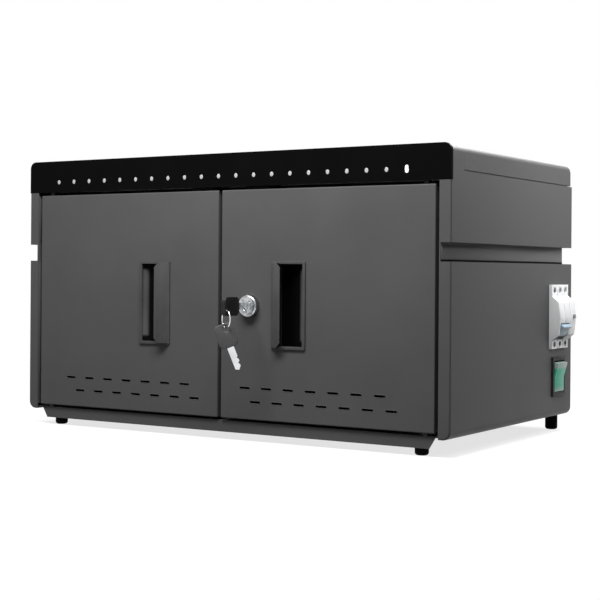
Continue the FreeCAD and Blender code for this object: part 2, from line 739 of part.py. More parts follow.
def base_pan():
    """The floor plate on the side panels' flanges, with the skirt along its front edge."""
    body = new_body()
    skirt_y = FRONT + d.skirt_recess
    upper = SIDE - d.skirt_inset
    lower = upper - d.skirt_slant
    pad(body, "xy", BASE_LOW, BASE_TOP, rectangle((-BASE_SIDE, BASE_SIDE), (skirt_y, REAR_IN - d.fit_gap)))
    pad(body, "xz", skirt_y, skirt_y + d.sheet, polygon(
        (-lower, d.skirt_drop), (lower, d.skirt_drop), (upper, BASE_TOP), (-upper, BASE_TOP),
    ))
    holes = [circle(x, y, d.screw_radius + d.fit_gap) for x, y in foot_places()]
    holes.append(circle(-d.bolt_offset, BOLT_Y, d.bolt_radius + d.bolt_hole_gap))
    pocket(body, "xy", BASE_LOW - d.sheet, BASE_TOP + d.sheet, *holes)
    keep("base_pan", body)


def top_cover():
    """A folded lid: flat top, side lips and a rear lip with a larger bend."""
    body = new_body()
    pad(body, "xy", SEAM, COVER_TOP, rectangle((-SIDE, SIDE), (COVER_FRONT, REAR)))
    soften(body, d.cover_rear_bend, "x", (REAR, COVER_TOP))
    soften(body, d.cover_bend, "y", (-SIDE, COVER_TOP), (SIDE, COVER_TOP))
    doc.recompute()
    block = body.Tip
    open_faces = []
    for number, face in enumerate(block.Shape.Faces, start=1):
        middle = face.CenterOfMass
        if abs(middle.z - SEAM.value) < 0.01 or abs(middle.y - COVER_FRONT.value) < 0.01:
            open_faces.append(f"Face{number}")
    hollow = body.newObject("PartDesign::Thickness", "Hollow")
    hollow.Base = (block, open_faces)
    hollow.Reversed = True
    bind(hollow, "Value", d.sheet)
    body.Tip = hollow
    holes = [circle(x, SEAM + d.cover_screw_level, d.screw_radius + d.fit_gap) for x in cover_screw_places()]
    pocket(body, "xz", REAR_IN - d.sheet, REAR + d.sheet, *holes)
    keep("top_cover", body)


def cover_screw_places():
    """Places of the screws along the top cover's rear lip."""
    return [d.cover_screw_pitch * step for step in (-1.5, -0.5, 0.5, 1.5)]


def fan_places():
    """Centres of the two fans."""
    return [(d.fan_offset * side, d.fan_level) for side in (-1, 1)]


def fan_screw_places():
    """Places of the screws around both fans."""
    half = d.fan_screw_pitch / 2
    return [(x + half * a, z + half * b) for x, z in fan_places() for a in (-1, 1) for b in (-1, 1)]


def inlet_plate_screw_places():
    """Places of the screws at the corners of the inlet's plate."""
    across = d.inlet_plate_width / 2 - d.inlet_plate_lap / 2
    up = d.inlet_plate_height / 2 - d.inlet_plate_lap / 2
    return [(INLET_X + across * a, d.inlet_level + up * b) for a in (-1, 1) for b in (-1, 1)]


def rear_panel():
    """The back between the grooves with the fans' openings, and the plate that holds the inlet."""
    body = new_body()
    out = GROOVE_FLOOR - d.sheet - d.fit_gap
    pad(body, "xz", BACK_IN, BACK, rectangle((-out, out), (BASE_TOP + d.fit_gap, TAB_TOP)))
    clear = d.screw_radius + d.fit_gap
    screw_x = SIDE - d.panel_screw_inset
    openings = [circle(x, z, d.fan_bore) for x, z in fan_places()]
    openings += [circle(x, z, clear) for x, z in fan_screw_places()]
    openings += [circle(screw_x * side, z, clear) for side in (-1, 1) for z in rear_screw_places()]
    openings += [circle(x, SEAM + d.cover_screw_level, clear) for x in cover_screw_places()]
    plate_holes = [circle(x, z, clear) for x, z in inlet_plate_screw_places()]
    wide = d.inlet_plate_width / 2 - d.inlet_plate_lap
    high = d.inlet_plate_height / 2 - d.inlet_plate_lap
    window = (d.inlet_level - high, d.inlet_level + high)
    openings.append(rectangle((INLET_X - wide, INLET_X + wide), window))
    pocket(body, "xz", BACK_IN - d.sheet, BACK + d.sheet, *openings, *plate_holes)
    keep("rear_panel", body)

    plate = new_body()
    side = d.inlet_plate_width / 2
    top = d.inlet_plate_height / 2
    outline = rectangle((INLET_X - side, INLET_X + side), (d.inlet_level - top, d.inlet_level + top))
    pad(plate, "xz", BACK, REAR, outline)
    half = d.inlet_body_width / 2 + d.fit_gap
    tall = d.inlet_body_height / 2 + d.fit_gap
    hole = rectangle((INLET_X - half, INLET_X + half), (d.inlet_level - tall, d.inlet_level + tall))
    pocket(plate, "xz", BACK_IN, REAR + d.sheet, hole, *plate_holes)
    keep("inlet_plate", plate)


def power_lamp_outline(height, width):
    """An upright slot at the place of the power lamp, for a sketch."""
    return long_slot(lamp_x(BAYS), LAMP_Z, height, width, upright=True)


def lens_openings(gap):
    """Outlines of the lamps, wider by a gap."""
    outlines = [circle(lamp_x(i), LAMP_Z, d.lamp_radius + gap) for i in range(BAYS)]
    outlines.append(power_lamp_outline(d.power_lamp_height + gap * 2, d.power_lamp_width + gap * 2))
    return outlines


def front_header():
    """The channel behind the fascia. Its lower flange carries the upper hinge pins and the catches."""
    body = new_body()
    out = WALL_IN - d.fit_gap
    pad(body, "xz", FASCIA_BACK, HEADER_BACK, rectangle((-out, out), (FASCIA_LOW, COVER_TOP - d.sheet)))
    flange_back = FASCIA_BACK + d.header_depth
    pad(body, "xy", FASCIA_LOW, FASCIA_LOW + d.sheet, rectangle((-out, out), (FASCIA_BACK, flange_back)))
    top_out = SIDE - d.bottom_flange - d.fit_gap
    top_back = COVER_FRONT - d.fit_gap
    pad(body, "xy", COVER_TOP - d.sheet, COVER_TOP, rectangle((-top_out, top_out), (FASCIA_BACK, top_back)))
    pocket(body, "xz", FASCIA_BACK - d.sheet, HEADER_BACK + d.sheet, *lens_openings(d.fit_gap))
    strike = circle(-d.bolt_offset, BOLT_Y, d.bolt_radius + d.bolt_hole_gap)
    pocket(body, "xy", FASCIA_LOW - d.sheet, FASCIA_LOW + d.sheet * 2, strike)
    keep("front_header", body)


def fascia():
    """The gloss strip across the front, with a hole for each lamp."""
    body = new_body()
    pad(body, "xz", FRONT, FASCIA_BACK, rectangle((-SIDE, SIDE), (FASCIA_LOW, d.body_height)))
    pocket(body, "xz", FRONT - d.sheet, FASCIA_BACK + d.sheet, *lens_openings(d.fit_gap))
    soften(body, d.fascia_corner, "y", (-SIDE, d.body_height), (SIDE, d.body_height))
    keep("led_fascia", body)


def lamps():
    """Twenty round lenses, the taller power lamp and the board that they stand on."""
    face = FRONT - d.lamp_proud
    lenses = [rod("y", face, HEADER_BACK, d.lamp_radius, (lamp_x(i), LAMP_Z)) for i in range(BAYS)]
    keep("led_lenses", group(lenses))
    lamp = new_body()
    pad(lamp, "xz", face, HEADER_BACK, power_lamp_outline(d.power_lamp_height, d.power_lamp_width))
    keep("power_lamp", lamp)
    margin = d.power_lamp_height
    keep("led_board", box(
        (lamp_x(0) - margin, lamp_x(BAYS) + margin), (HEADER_BACK, HEADER_BACK + d.board),
        (LAMP_Z - margin, LAMP_Z + margin),
    ))


def door_panel(side):
    """A folded door pan with ventilation slots and its handle's cut-out. The right one holds the lock."""
    body = new_body()
    outer = ((DOOR_FREE * side, DOOR_EDGE * side), (DOOR_LOW, DOOR_TOP))
    inner = (
        ((DOOR_FREE + d.sheet) * side, (DOOR_EDGE - d.sheet) * side),
        (DOOR_LOW + d.sheet, DOOR_TOP - d.sheet),
    )
    window = (
        ((DOOR_FREE + d.door_lip) * side, (DOOR_EDGE - d.door_lip) * side),
        (DOOR_LOW + d.door_lip, DOOR_TOP - d.door_lip),
    )
    pad(body, "xz", DOOR_FRONT, DOOR_REAR, rectangle(*outer))
    soften(body, d.door_round, "z", (DOOR_FREE * side, DOOR_FRONT), (DOOR_EDGE * side, DOOR_FRONT))
    soften(body, d.door_round, "x", (DOOR_FRONT, DOOR_LOW), (DOOR_FRONT, DOOR_TOP))
    pocket(body, "xz", DOOR_SKIN, DOOR_REAR - d.sheet, rectangle(*inner))
    pocket(body, "xz", DOOR_REAR - d.sheet * 2, DOOR_REAR + d.sheet, rectangle(*window))
    row_run = d.slot_pitch * (SLOTS_IN_A_ROW - 1)
    if side < 0:
        upper_first = d.slot_margin - DOOR_EDGE
        lower_first = upper_first + d.slot_stagger
    else:
        lower_first = DOOR_EDGE - d.slot_margin - row_run
        upper_first = lower_first - d.slot_stagger
    through = (DOOR_FRONT - d.sheet, DOOR_SKIN + d.sheet)
    lower_z = DOOR_LOW + d.slot_level
    for first, z in ((lower_first, lower_z), (upper_first, lower_z + d.slot_row)):
        slot = pocket(body, "xz", *through, long_slot(first, z, d.slot_length, d.slot_height))
        repeat(body, slot, d.slot_pitch, SLOTS_IN_A_ROW)
    cup_free = d.handle_offset - d.handle_width / 2 + d.cup_start - d.handle_wall - d.fit_gap
    cup_far = cup_free + d.cup_width + (d.handle_wall + d.fit_gap) * 2
    half = d.cup_height / 2 + d.handle_wall + d.fit_gap
    openings = [rectangle((cup_free * side, cup_far * side), (DOOR_MID - half, DOOR_MID + half))]
    if side > 0:
        openings.append(circle(d.lock_offset, LOCK_Z, d.lock_barrel_radius + d.fit_gap))
    pocket(body, "xz", *through, *openings)
    holes = [circle(HINGE_X * side, HINGE_Y, BUSH_RADIUS + d.fit_gap)]
    if side < 0:
        holes.append(circle(-d.bolt_offset, BOLT_Y, d.bolt_radius + d.bolt_hole_gap))
    pocket(body, "xy", DOOR_LOW - d.sheet, DOOR_LOW + d.sheet * 2, *holes)
    pocket(body, "xy", DOOR_TOP - d.sheet * 2, DOOR_TOP + d.sheet, *holes)
    return body


def handle_cup():
    """The right handle: a frame, a finger cup with a sloping floor and a raised grip on its free side."""
    body = new_body()
    free = d.handle_offset - d.handle_width / 2
    far = free + d.handle_width
    frame_y = DOOR_FRONT - d.handle_frame
    cup_free = free + d.cup_start
    cup_far = cup_free + d.cup_width
    deep = DOOR_FRONT + d.cup_depth
    wall = d.handle_wall
    half = d.cup_height / 2
    frame_half = d.handle_height / 2
    frame = rectangle((free, far), (DOOR_MID - frame_half, DOOR_MID + frame_half))
    pad(body, "xz", frame_y, DOOR_FRONT, frame)
    pad(body, "xy", DOOR_MID - half - wall, DOOR_MID + half + wall, polygon(
        (cup_free - wall, frame_y), (cup_far + wall, frame_y), (cup_far + wall, DOOR_SKIN + wall),
        (cup_free + d.cup_flat + wall, deep + wall), (cup_free - wall, deep + wall),
    ))
    corners = [(x, z) for x in (free, far) for z in (DOOR_MID - frame_half, DOOR_MID + frame_half)]
    soften(body, d.handle_frame, "y", *corners)
    pocket(body, "xy", DOOR_MID - half, DOOR_MID + half, polygon(
        (cup_free, frame_y - d.sheet), (cup_far, frame_y - d.sheet), (cup_far, DOOR_SKIN),
        (cup_free + d.cup_flat, deep), (cup_free, deep),
    ))
    root = free + d.sheet
    tip = root + d.hood_width
    crest = frame_y - d.hood_rise
    bend = (root + d.hood_bend, crest + d.hood_crown)
    pad(body, "xy", DOOR_MID - half - wall, DOOR_MID + half + wall, polygon(
        (root, frame_y), bend, (tip - wall, crest), (tip, crest), (tip, crest + wall),
        (bend[0] + wall, bend[1] + wall), (cup_free, frame_y), (cup_free, DOOR_FRONT), (root, DOOR_FRONT),
    ))
    web = polygon((root, frame_y), bend, (tip - wall, crest), (tip, crest), (tip, frame_y))
    pad(body, "xy", DOOR_MID - half - wall, DOOR_MID - half, web)
    pad(body, "xy", DOOR_MID + half, DOOR_MID + half + wall, web)
    corner_x = (tip - d.hood_corner, tip + wall)
    for side in (-1, 1):
        end = DOOR_MID + (half + wall) * side
        outside = end + wall * side
        pocket(body, "xz", crest - wall, frame_y, polygon(
            (corner_x[0], end), (corner_x[0], outside), (corner_x[1], outside),
            (corner_x[1], end - (d.hood_corner + wall) * side),
        ))
    return body


def hinge_pins(side):
    """The two pins of a door. The lower one stands on the base, the upper one hangs from the header."""
    at = (HINGE_X * side, HINGE_Y)
    seat = DOOR_LOW - d.bush_flange
    lower = fuse(
        rod("z", BASE_TOP, seat, d.collar_radius, at),
        rod("z", BASE_TOP, seat + d.pin_reach, d.pin_radius, at),
    )
    top_seat = DOOR_TOP + d.bush_flange + d.catch_gap
    upper = fuse(
        rod("z", top_seat, FASCIA_LOW, d.collar_radius, at),
        rod("z", top_seat - d.pin_reach, FASCIA_LOW, d.pin_radius, at),
    )
    return group((lower, upper))


def hinge_bushes(side):
    """The flanged bushes in a door's lower and upper walls."""
    at = (HINGE_X * side, HINGE_Y)
    bore = d.pin_radius + d.run_gap
    low = DOOR_LOW - d.bush_flange
    high = DOOR_TOP + d.bush_flange
    lower = fuse(
        rod("z", low, DOOR_LOW, d.bush_flange_radius, at),
        rod("z", low, DOOR_LOW + d.pin_reach, BUSH_RADIUS, at),
    )
    upper = fuse(
        rod("z", DOOR_TOP, high, d.bush_flange_radius, at),
        rod("z", DOOR_TOP - d.pin_reach, high, BUSH_RADIUS, at),
    )
    return group(
        cut(bush, rod("z", low - d.sheet, high + d.sheet, bore, at)) for bush in (lower, upper)
    )


def doors():
    """Both doors with their handles and hinges."""
    keep("left_door_panel", door_panel(-1))
    keep("right_door_panel", door_panel(1))
    keep("left_handle_cup", mirrored(handle_cup()))
    keep("right_handle_cup", handle_cup())
    keep("left_hinge_bushes", hinge_bushes(-1))
    keep("right_hinge_bushes", hinge_bushes(1))
    keep("left_hinge_pins", hinge_pins(-1))
    keep("right_hinge_pins", hinge_pins(1))


def door_bolts():
    """The passive door's two bolts, drawn back, and the four guides that they slide in."""
    at = (-d.bolt_offset, BOLT_Y)
    guides = []
    for label, end, way in (("bottom_bolt", DOOR_LOW, 1), ("top_bolt", DOOR_TOP, -1)):
        tail = end + d.bolt_length * way
        low, high = (end, tail) if way > 0 else (tail, end)
        knob_z = end + d.knob_level * way
        knob = rod("y", BOLT_Y, BOLT_Y + d.knob_length, d.bolt_radius, (-d.bolt_offset, knob_z))
        keep(label, fuse(rod("z", low, high, d.bolt_radius, at), knob))
        for step in (0, 1):
            near = end + (d.guide_first + d.guide_pitch * step) * way
            far = near + d.guide_height * way
            span = (near, far) if way > 0 else (far, near)
            half = d.guide_width / 2
            block = box(
                (-d.bolt_offset - half, -d.bolt_offset + half), (DOOR_SKIN, BOLT_Y + d.bolt_radius * 2), span
            )
            guides.append(cut(block, rod("z", low, high, d.bolt_radius + d.run_gap, at)))
    keep("left_bolt_guides", group(guides))


def catches():
    """Magnetic catches under the header, one behind the top of each door."""
    front = DOOR_REAR + d.catch_gap
    half = d.catch_width / 2
    blocks = [
        box(
            (d.catch_offset * side - half, d.catch_offset * side + half), (front, front + d.catch_depth),
            (FASCIA_LOW - d.catch_height, FASCIA_LOW),
        )
        for side in (-1, 1)
    ]
    keep("magnetic_catches", group(blocks))


def lock():
    """The cam lock in the right door: housing, nut, plug with keyway, cam and cam screw."""
    at = (d.lock_offset, LOCK_Z)
    barrel_end = DOOR_REAR - d.sheet
    bevel = LOCK_FACE + d.lock_chamfer
    shell = fuse(
        taper("y", LOCK_FACE, bevel, d.lock_bezel_radius - d.lock_chamfer, d.lock_bezel_radius, at),
        rod("y", bevel, DOOR_FRONT, d.lock_bezel_radius, at),
        rod("y", DOOR_FRONT, barrel_end, d.lock_barrel_radius, at),
    )
    bore = rod("y", LOCK_FACE - d.sheet, DOOR_REAR, d.lock_plug_radius + d.run_gap, at)
    keep("lock_housing", cut(shell, bore))
    nut = doc.addObject("Part::Prism", "Nut")
    nut.Polygon = 6
    bind(nut, "Circumradius", d.lock_nut_width)
    bind(nut, "Height", d.lock_nut_height)
    stand(nut, "y", DOOR_SKIN, at)
    keep("lock_nut", cut(nut, rod("y", DOOR_FRONT, DOOR_REAR, d.lock_barrel_radius + d.fit_gap, at)))
    half = d.cam_square / 2
    square = box(
        (d.lock_offset - half, d.lock_offset + half), (CAM_FRONT, CAM_BACK), (LOCK_Z - half, LOCK_Z + half)
    )
    plug = fuse(rod("y", LOCK_FACE, CAM_FRONT, d.lock_plug_radius, at), square)
    slim = d.blade_thickness / 2 + d.keyway_gap
    tall = d.blade_height / 2 + d.keyway_gap
    keyway = box(
        (d.lock_offset - slim, d.lock_offset + slim), (LOCK_FACE - d.sheet, LOCK_FACE + d.keyway_depth),
        (LOCK_Z - tall, LOCK_Z + tall),
    )
    keep("lock_plug", cut(plug, keyway))
    cam_half = d.cam_width / 2
    end = LOCK_Z - d.cam_reach
    blank = fuse(
        box((d.lock_offset - cam_half, d.lock_offset + cam_half), (CAM_FRONT, CAM_BACK), (end, LOCK_Z)),
        rod("y", CAM_FRONT, CAM_BACK, cam_half, at),
    )
    hole = half + d.fit_gap
    keep("lock_cam", cut(blank, box(
        (d.lock_offset - hole, d.lock_offset + hole), (CAM_FRONT - d.sheet, CAM_BACK + d.sheet),
        (LOCK_Z - hole, LOCK_Z + hole),
    )))
    keep("cam_screw", rod("y", CAM_BACK, CAM_BACK + d.screw_head_height, d.cam_square, at))


def key_blade():
    """A key blade, made with the bow's hole at the origin. It points along +Y."""
    body = new_body()
    start = d.bow_length - d.key_hole_edge
    end = start + d.blade_length
    low = d.key_hole_drop - d.blade_height / 2
    high = d.key_hole_drop + d.blade_height / 2
    step = d.blade_length / 7
    bite = d.blade_height / 5
    half = d.blade_thickness / 2
    pad(body, "yz", -half, half, polygon(
        (start, low), (end - step * 4, low), (end - step * 3.5, low + bite), (end - step * 3, low),
        (end - step * 2.5, low), (end - step * 2, low + bite * 1.5), (end - step * 1.5, low + bite * 0.5),
        (end - step, low + bite * 0.5), (end, d.key_hole_drop), (end - step * 0.5, high), (start, high),
    ))
    return body


def key_bow():
    """The moulded bow of a key, around the hole at the origin."""
    body = new_body()
    outer = -d.key_hole_edge
    inner = outer + d.bow_length
    low = d.key_hole_drop - d.bow_height / 2
    high = low + d.bow_height
    half = d.bow_thickness / 2
    pad(body, "yz", -half, half, rectangle((outer, inner), (low, high)))
    soften(body, d.bow_round, "x", (outer, low), (outer, high), (inner, low), (inner, high))
    pocket(body, "yz", -half - d.sheet, half + d.sheet, circle(0, 0, d.key_hole_radius))
    return body


def keys():
    """The key in the lock, the ring through its bow and the spare key that hangs on the ring."""
    blade = key_blade()
    bow = key_bow()
    lock_x = d.lock_offset
    for label, piece in (("key_blade", blade), ("key_bow", bow)):
        keep(label, group([copy_at(piece, lock_x, KEY_HOLE_Y, KEY_HOLE_Z)]))
    ring = doc.addObject("Part::Torus", "Ring")
    bind(ring, "Radius1", d.ring_radius)
    bind(ring, "Radius2", d.ring_wire)
    ring.Placement = FreeCAD.Placement(FreeCAD.Vector(), FreeCAD.Rotation(RING_YAW_DEG, 0, -90))
    keep("key_ring", place(ring, lock_x, KEY_HOLE_Y, RING_Z))
    turn = FreeCAD.Rotation(SPARE_YAW_DEG, 0, SPARE_ROLL_DEG)
    spare_z = RING_Z - d.ring_radius - d.ring_sit
    for label, piece in (("spare_key_blade", blade), ("spare_key_bow", bow)):
        keep(label, group([copy_at(piece, lock_x, KEY_HOLE_Y, spare_z, turn)]))


def bays():
    """The padded floor, the dividers and the cover of the wiring duct beside them."""
    keep("bay_mat", box((-BASE_SIDE, DUCT - d.fit_gap), (BAY_FRONT, BAY_REAR), (BASE_TOP, MAT_TOP)))
    plates = []
    for number in range(BAYS + 1):
        middle = FIRST_DIVIDER + d.bay_pitch * number
        thickness = (middle - d.sheet / 2, middle + d.sheet / 2)
        plates.append(box(thickness, (BAY_FRONT, BAY_REAR), (MAT_TOP, DECK_LOW)))
    keep("bay_dividers", group(plates))
    body = new_body()
    wall = rectangle((DUCT, DUCT + d.sheet), (BAY_FRONT, BAY_REAR))
    flange = rectangle((DUCT, DUCT + d.duct_flange), (BAY_FRONT, BAY_FRONT + d.sheet))
    pad(body, "xy", BASE_TOP, DECK_LOW, wall)
    pad(body, "xy", BASE_TOP, DECK_LOW, flange)
    keep("wiring_duct_cover", body)


def port():
    """One charging port, made at the origin: a metal shell with a tongue."""
    half = d.port_width / 2
    wall = d.port_wall
    shell = box((-half, half), (0, d.port_depth), (0, d.port_height))
    hollow = box((wall - half, half - wall), (-wall, d.port_depth - wall * 4), (wall, d.port_height - wall))
    slim = d.port_tongue / 2
    tongue = box((-slim, slim), (wall * 2, d.port_depth), (wall * 2, d.port_height - wall * 2))
    return fuse(cut(shell, hollow), tongue)


def charger():
    """The deck over the bays with its port panel, the charger board, its ports and the power supplies."""
    body = new_body()
    out = WALL_IN - d.fit_gap
    pad(body, "xy", DECK_LOW, DECK_TOP, rectangle((-out, out), (DECK_FRONT, DECK_REAR)))
    panel = rectangle((-out, out), (DECK_LOW, DECK_LOW + d.deck_upstand))
    pad(body, "xz", DECK_FRONT, DECK_FRONT + d.sheet, panel)
    clear = d.port_clearance
    half = d.port_width / 2 + clear
    mouth = rectangle(
        (FIRST_LAMP - half, FIRST_LAMP + half), (BOARD_TOP - clear, BOARD_TOP + d.port_height + clear)
    )
    mouths = pocket(body, "xz", DECK_FRONT - d.sheet, DECK_FRONT + d.sheet * 2, mouth)
    repeat(body, mouths, d.bay_pitch, BAYS)
    keep("charger_deck", body)
    board_front = DECK_FRONT + d.sheet + d.port_clearance
    board_back = board_front + d.charger_depth
    left = lamp_x(0) - d.bay_pitch / 2
    right = lamp_x(BAYS - 1) + d.bay_pitch / 2
    keep("charger_board", box((left, right), (board_front, board_back), (BOARD_LOW, BOARD_TOP)))
    edge = d.standoff_radius * 2
    posts = [
        rod("z", DECK_TOP, BOARD_LOW, d.standoff_radius, (x, y))
        for x in (left + edge, (left + right) / 2, right - edge)
        for y in (board_front + edge, board_back - edge)
    ]
    keep("board_standoffs", group(posts))
    shell = port()
    keep("charging_ports", group(copy_at(shell, lamp_x(i), DECK_FRONT, BOARD_TOP) for i in range(BAYS)))
    supply_front = FRONT + d.supply_front
    half = d.supply_width / 2
    supplies = [
        box(
            (d.supply_offset * side - half, d.supply_offset * side + half),
            (supply_front, supply_front + d.supply_depth), (DECK_TOP, DECK_TOP + d.supply_height),
        )
        for side in (-1, 1)
    ]
    keep("power_supplies", group(supplies))


def feet():
    """Four rubber feet, each with a screw up into the base."""
    rubbers = []
    screws = []
    for at in foot_places():
        recess = rod("z", -d.sheet, d.foot_recess, d.foot_bore, at)
        hole = rod("z", d.foot_recess, BASE_LOW, d.screw_radius + d.fit_gap, at)
        block = taper("z", 0, BASE_LOW, d.foot_base_radius, d.foot_radius, at)
        rubbers.append(cut(block, fuse(recess, hole)))
        head = rod("z", d.foot_recess - d.screw_head_height, d.foot_recess, d.screw_head_radius, at)
        screws.append(fuse(head, rod("z", d.foot_recess, BASE_TOP, d.screw_radius, at)))
    keep("feet", group(rubbers))
    keep("foot_screws", group(screws))


def rear_screw(x, z, seat, length):
    """A screw that goes in from the rear, with its head on the given plane."""
    head = rod("y", seat, seat + d.screw_head_height, d.screw_head_radius, (x, z))
    return fuse(head, rod("y", seat - length, seat, d.screw_radius, (x, z)))


def panel_screws():
    """The screws of the rear panel, the top cover and the fans."""
    edge = SIDE - d.panel_screw_inset
    places = [(edge * side, z) for side in (-1, 1) for z in rear_screw_places()]
    places += inlet_plate_screw_places()
    keep("rear_panel_screws", group(rear_screw(x, z, REAR, d.screw_length) for x, z in places))
    level = SEAM + d.cover_screw_level
    keep("top_cover_screws", group(rear_screw(x, level, REAR, d.screw_length) for x in cover_screw_places()))
    seat = BACK + d.guard_thickness
    keep("fan_screws", group(rear_screw(x, z, seat, d.fan_depth) for x, z in fan_screw_places()))


def fan_frame():
    """One fan frame around an axis at the origin, from its inner face to the rear panel."""
    half = d.fan_size / 2
    inner = FAN_FRONT
    block = box((-half, half), (inner, BACK_IN), (-half, half))
    holes = [rod("y", inner - d.sheet, REAR, d.fan_bore, (0, 0))]
    reach = d.fan_screw_pitch / 2
    clear = d.screw_radius + d.fit_gap
    corners = [(reach * a, reach * b) for a in (-1, 1) for b in (-1, 1)]
    holes += [rod("y", inner - d.sheet, REAR, clear, corner) for corner in corners]
    strut = d.fan_strut / 2
    long = d.fan_bore + d.sheet
    deep = (inner, inner + d.fan_strut)
    return fuse(
        cut(block, *holes),
        box((-long, long), deep, (-strut, strut)),
        box((-strut, strut), deep, (-long, long)),
        rod("y", inner, inner + d.fan_strut, d.fan_hub, (0, 0)),
        rod("y", inner, BACK_IN - d.fan_strut * 2, d.fan_axle, (0, 0)),
    )


def fan_rotor():
    """One fan rotor around an axis at the origin: hub, bore and pitched blades."""
    start = FAN_FRONT + d.fan_strut + d.rocker_gap
    end = BACK_IN - d.fan_strut
    hub = rod("y", start, end, d.fan_hub, (0, 0))
    pieces = [hub]
    middle = (start + end) / 2
    root = d.fan_hub - d.sheet
    for number in range(FAN_BLADES):
        blade = doc.addObject("Part::Box", "Blade")
        bind(blade, "Length", d.fan_tip - root)
        bind(blade, "Width", d.blade_chord)
        bind(blade, "Height", d.blade_sheet)
        spin = FreeCAD.Rotation(FreeCAD.Vector(0, 1, 0), 360 * number / FAN_BLADES)
        pitch = FreeCAD.Rotation(FreeCAD.Vector(1, 0, 0), BLADE_PITCH_DEG)
        turn = spin.multiply(pitch)
        blade.Placement = FreeCAD.Placement(FreeCAD.Vector(), turn)
        corner = (root, -d.blade_chord / 2, -d.blade_sheet / 2)
        spot = [0, middle, 0]
        for axis, length in enumerate(corner):
            unit = FreeCAD.Vector(*[1 if axis == k else 0 for k in range(3)])
            shift = turn.multVec(unit)
            spot = [place_ + length * share for place_, share in zip(spot, shift)]
        pieces.append(place(blade, *spot))
    bore = rod("y", start - d.sheet, end - d.fan_strut + d.rocker_gap, d.fan_axle + d.run_gap, (0, 0))
    return cut(fuse(*pieces), bore)


def finger_guard():
    """One finger guard around an axis at the origin: flat rings on two crossed bars."""
    low = BACK
    high = BACK + d.guard_thickness
    rings = []
    for number in range(1, GUARD_RINGS + 1):
        radius = d.guard_pitch * number
        outer = rod("y", low, high, radius, (0, 0))
        rings.append(cut(outer, rod("y", low - d.sheet, high + d.sheet, radius - d.guard_wire, (0, 0))))
    reach = d.fan_screw_pitch * HALF_DIAGONAL + d.screw_head_radius
    bars = []
    for angle in (45, -45):
        bar = doc.addObject("Part::Box", "Bar")
        bind(bar, "Length", reach * 2)
        bind(bar, "Width", d.guard_thickness)
        bind(bar, "Height", d.screw_head_radius * 2)
        turn = FreeCAD.Rotation(FreeCAD.Vector(0, 1, 0), angle)
        bar.Placement = FreeCAD.Placement(FreeCAD.Vector(), turn)
        side = turn.multVec(FreeCAD.Vector(1, 0, 0))
        up = turn.multVec(FreeCAD.Vector(0, 0, 1))
        x = -reach * side.x - d.screw_head_radius * up.x
        z = -reach * side.z - d.screw_head_radius * up.z
        bars.append(place(bar, x, low, z))
    half = d.fan_screw_pitch / 2
    clear = d.screw_radius + d.fit_gap
    corners = [(half * a, half * b) for a in (-1, 1) for b in (-1, 1)]
    holes = [rod("y", low - d.sheet, high + d.sheet, clear, corner) for corner in corners]
    return cut(fuse(*rings, *bars), *holes)


def fans():
    """Two fans behind the bays, with their guards on the outside of the rear panel."""
    for label, source in (("fan_frames", fan_frame()), ("fan_guards", finger_guard())):
        keep(label, group(copy_at(source, x, 0, z) for x, z in fan_places()))
    rotor = fan_rotor()
    for label, (x, z) in zip(("left_fan_rotor", "right_fan_rotor"), fan_places()):
        keep(label, group([copy_at(rotor, x, 0, z)]))


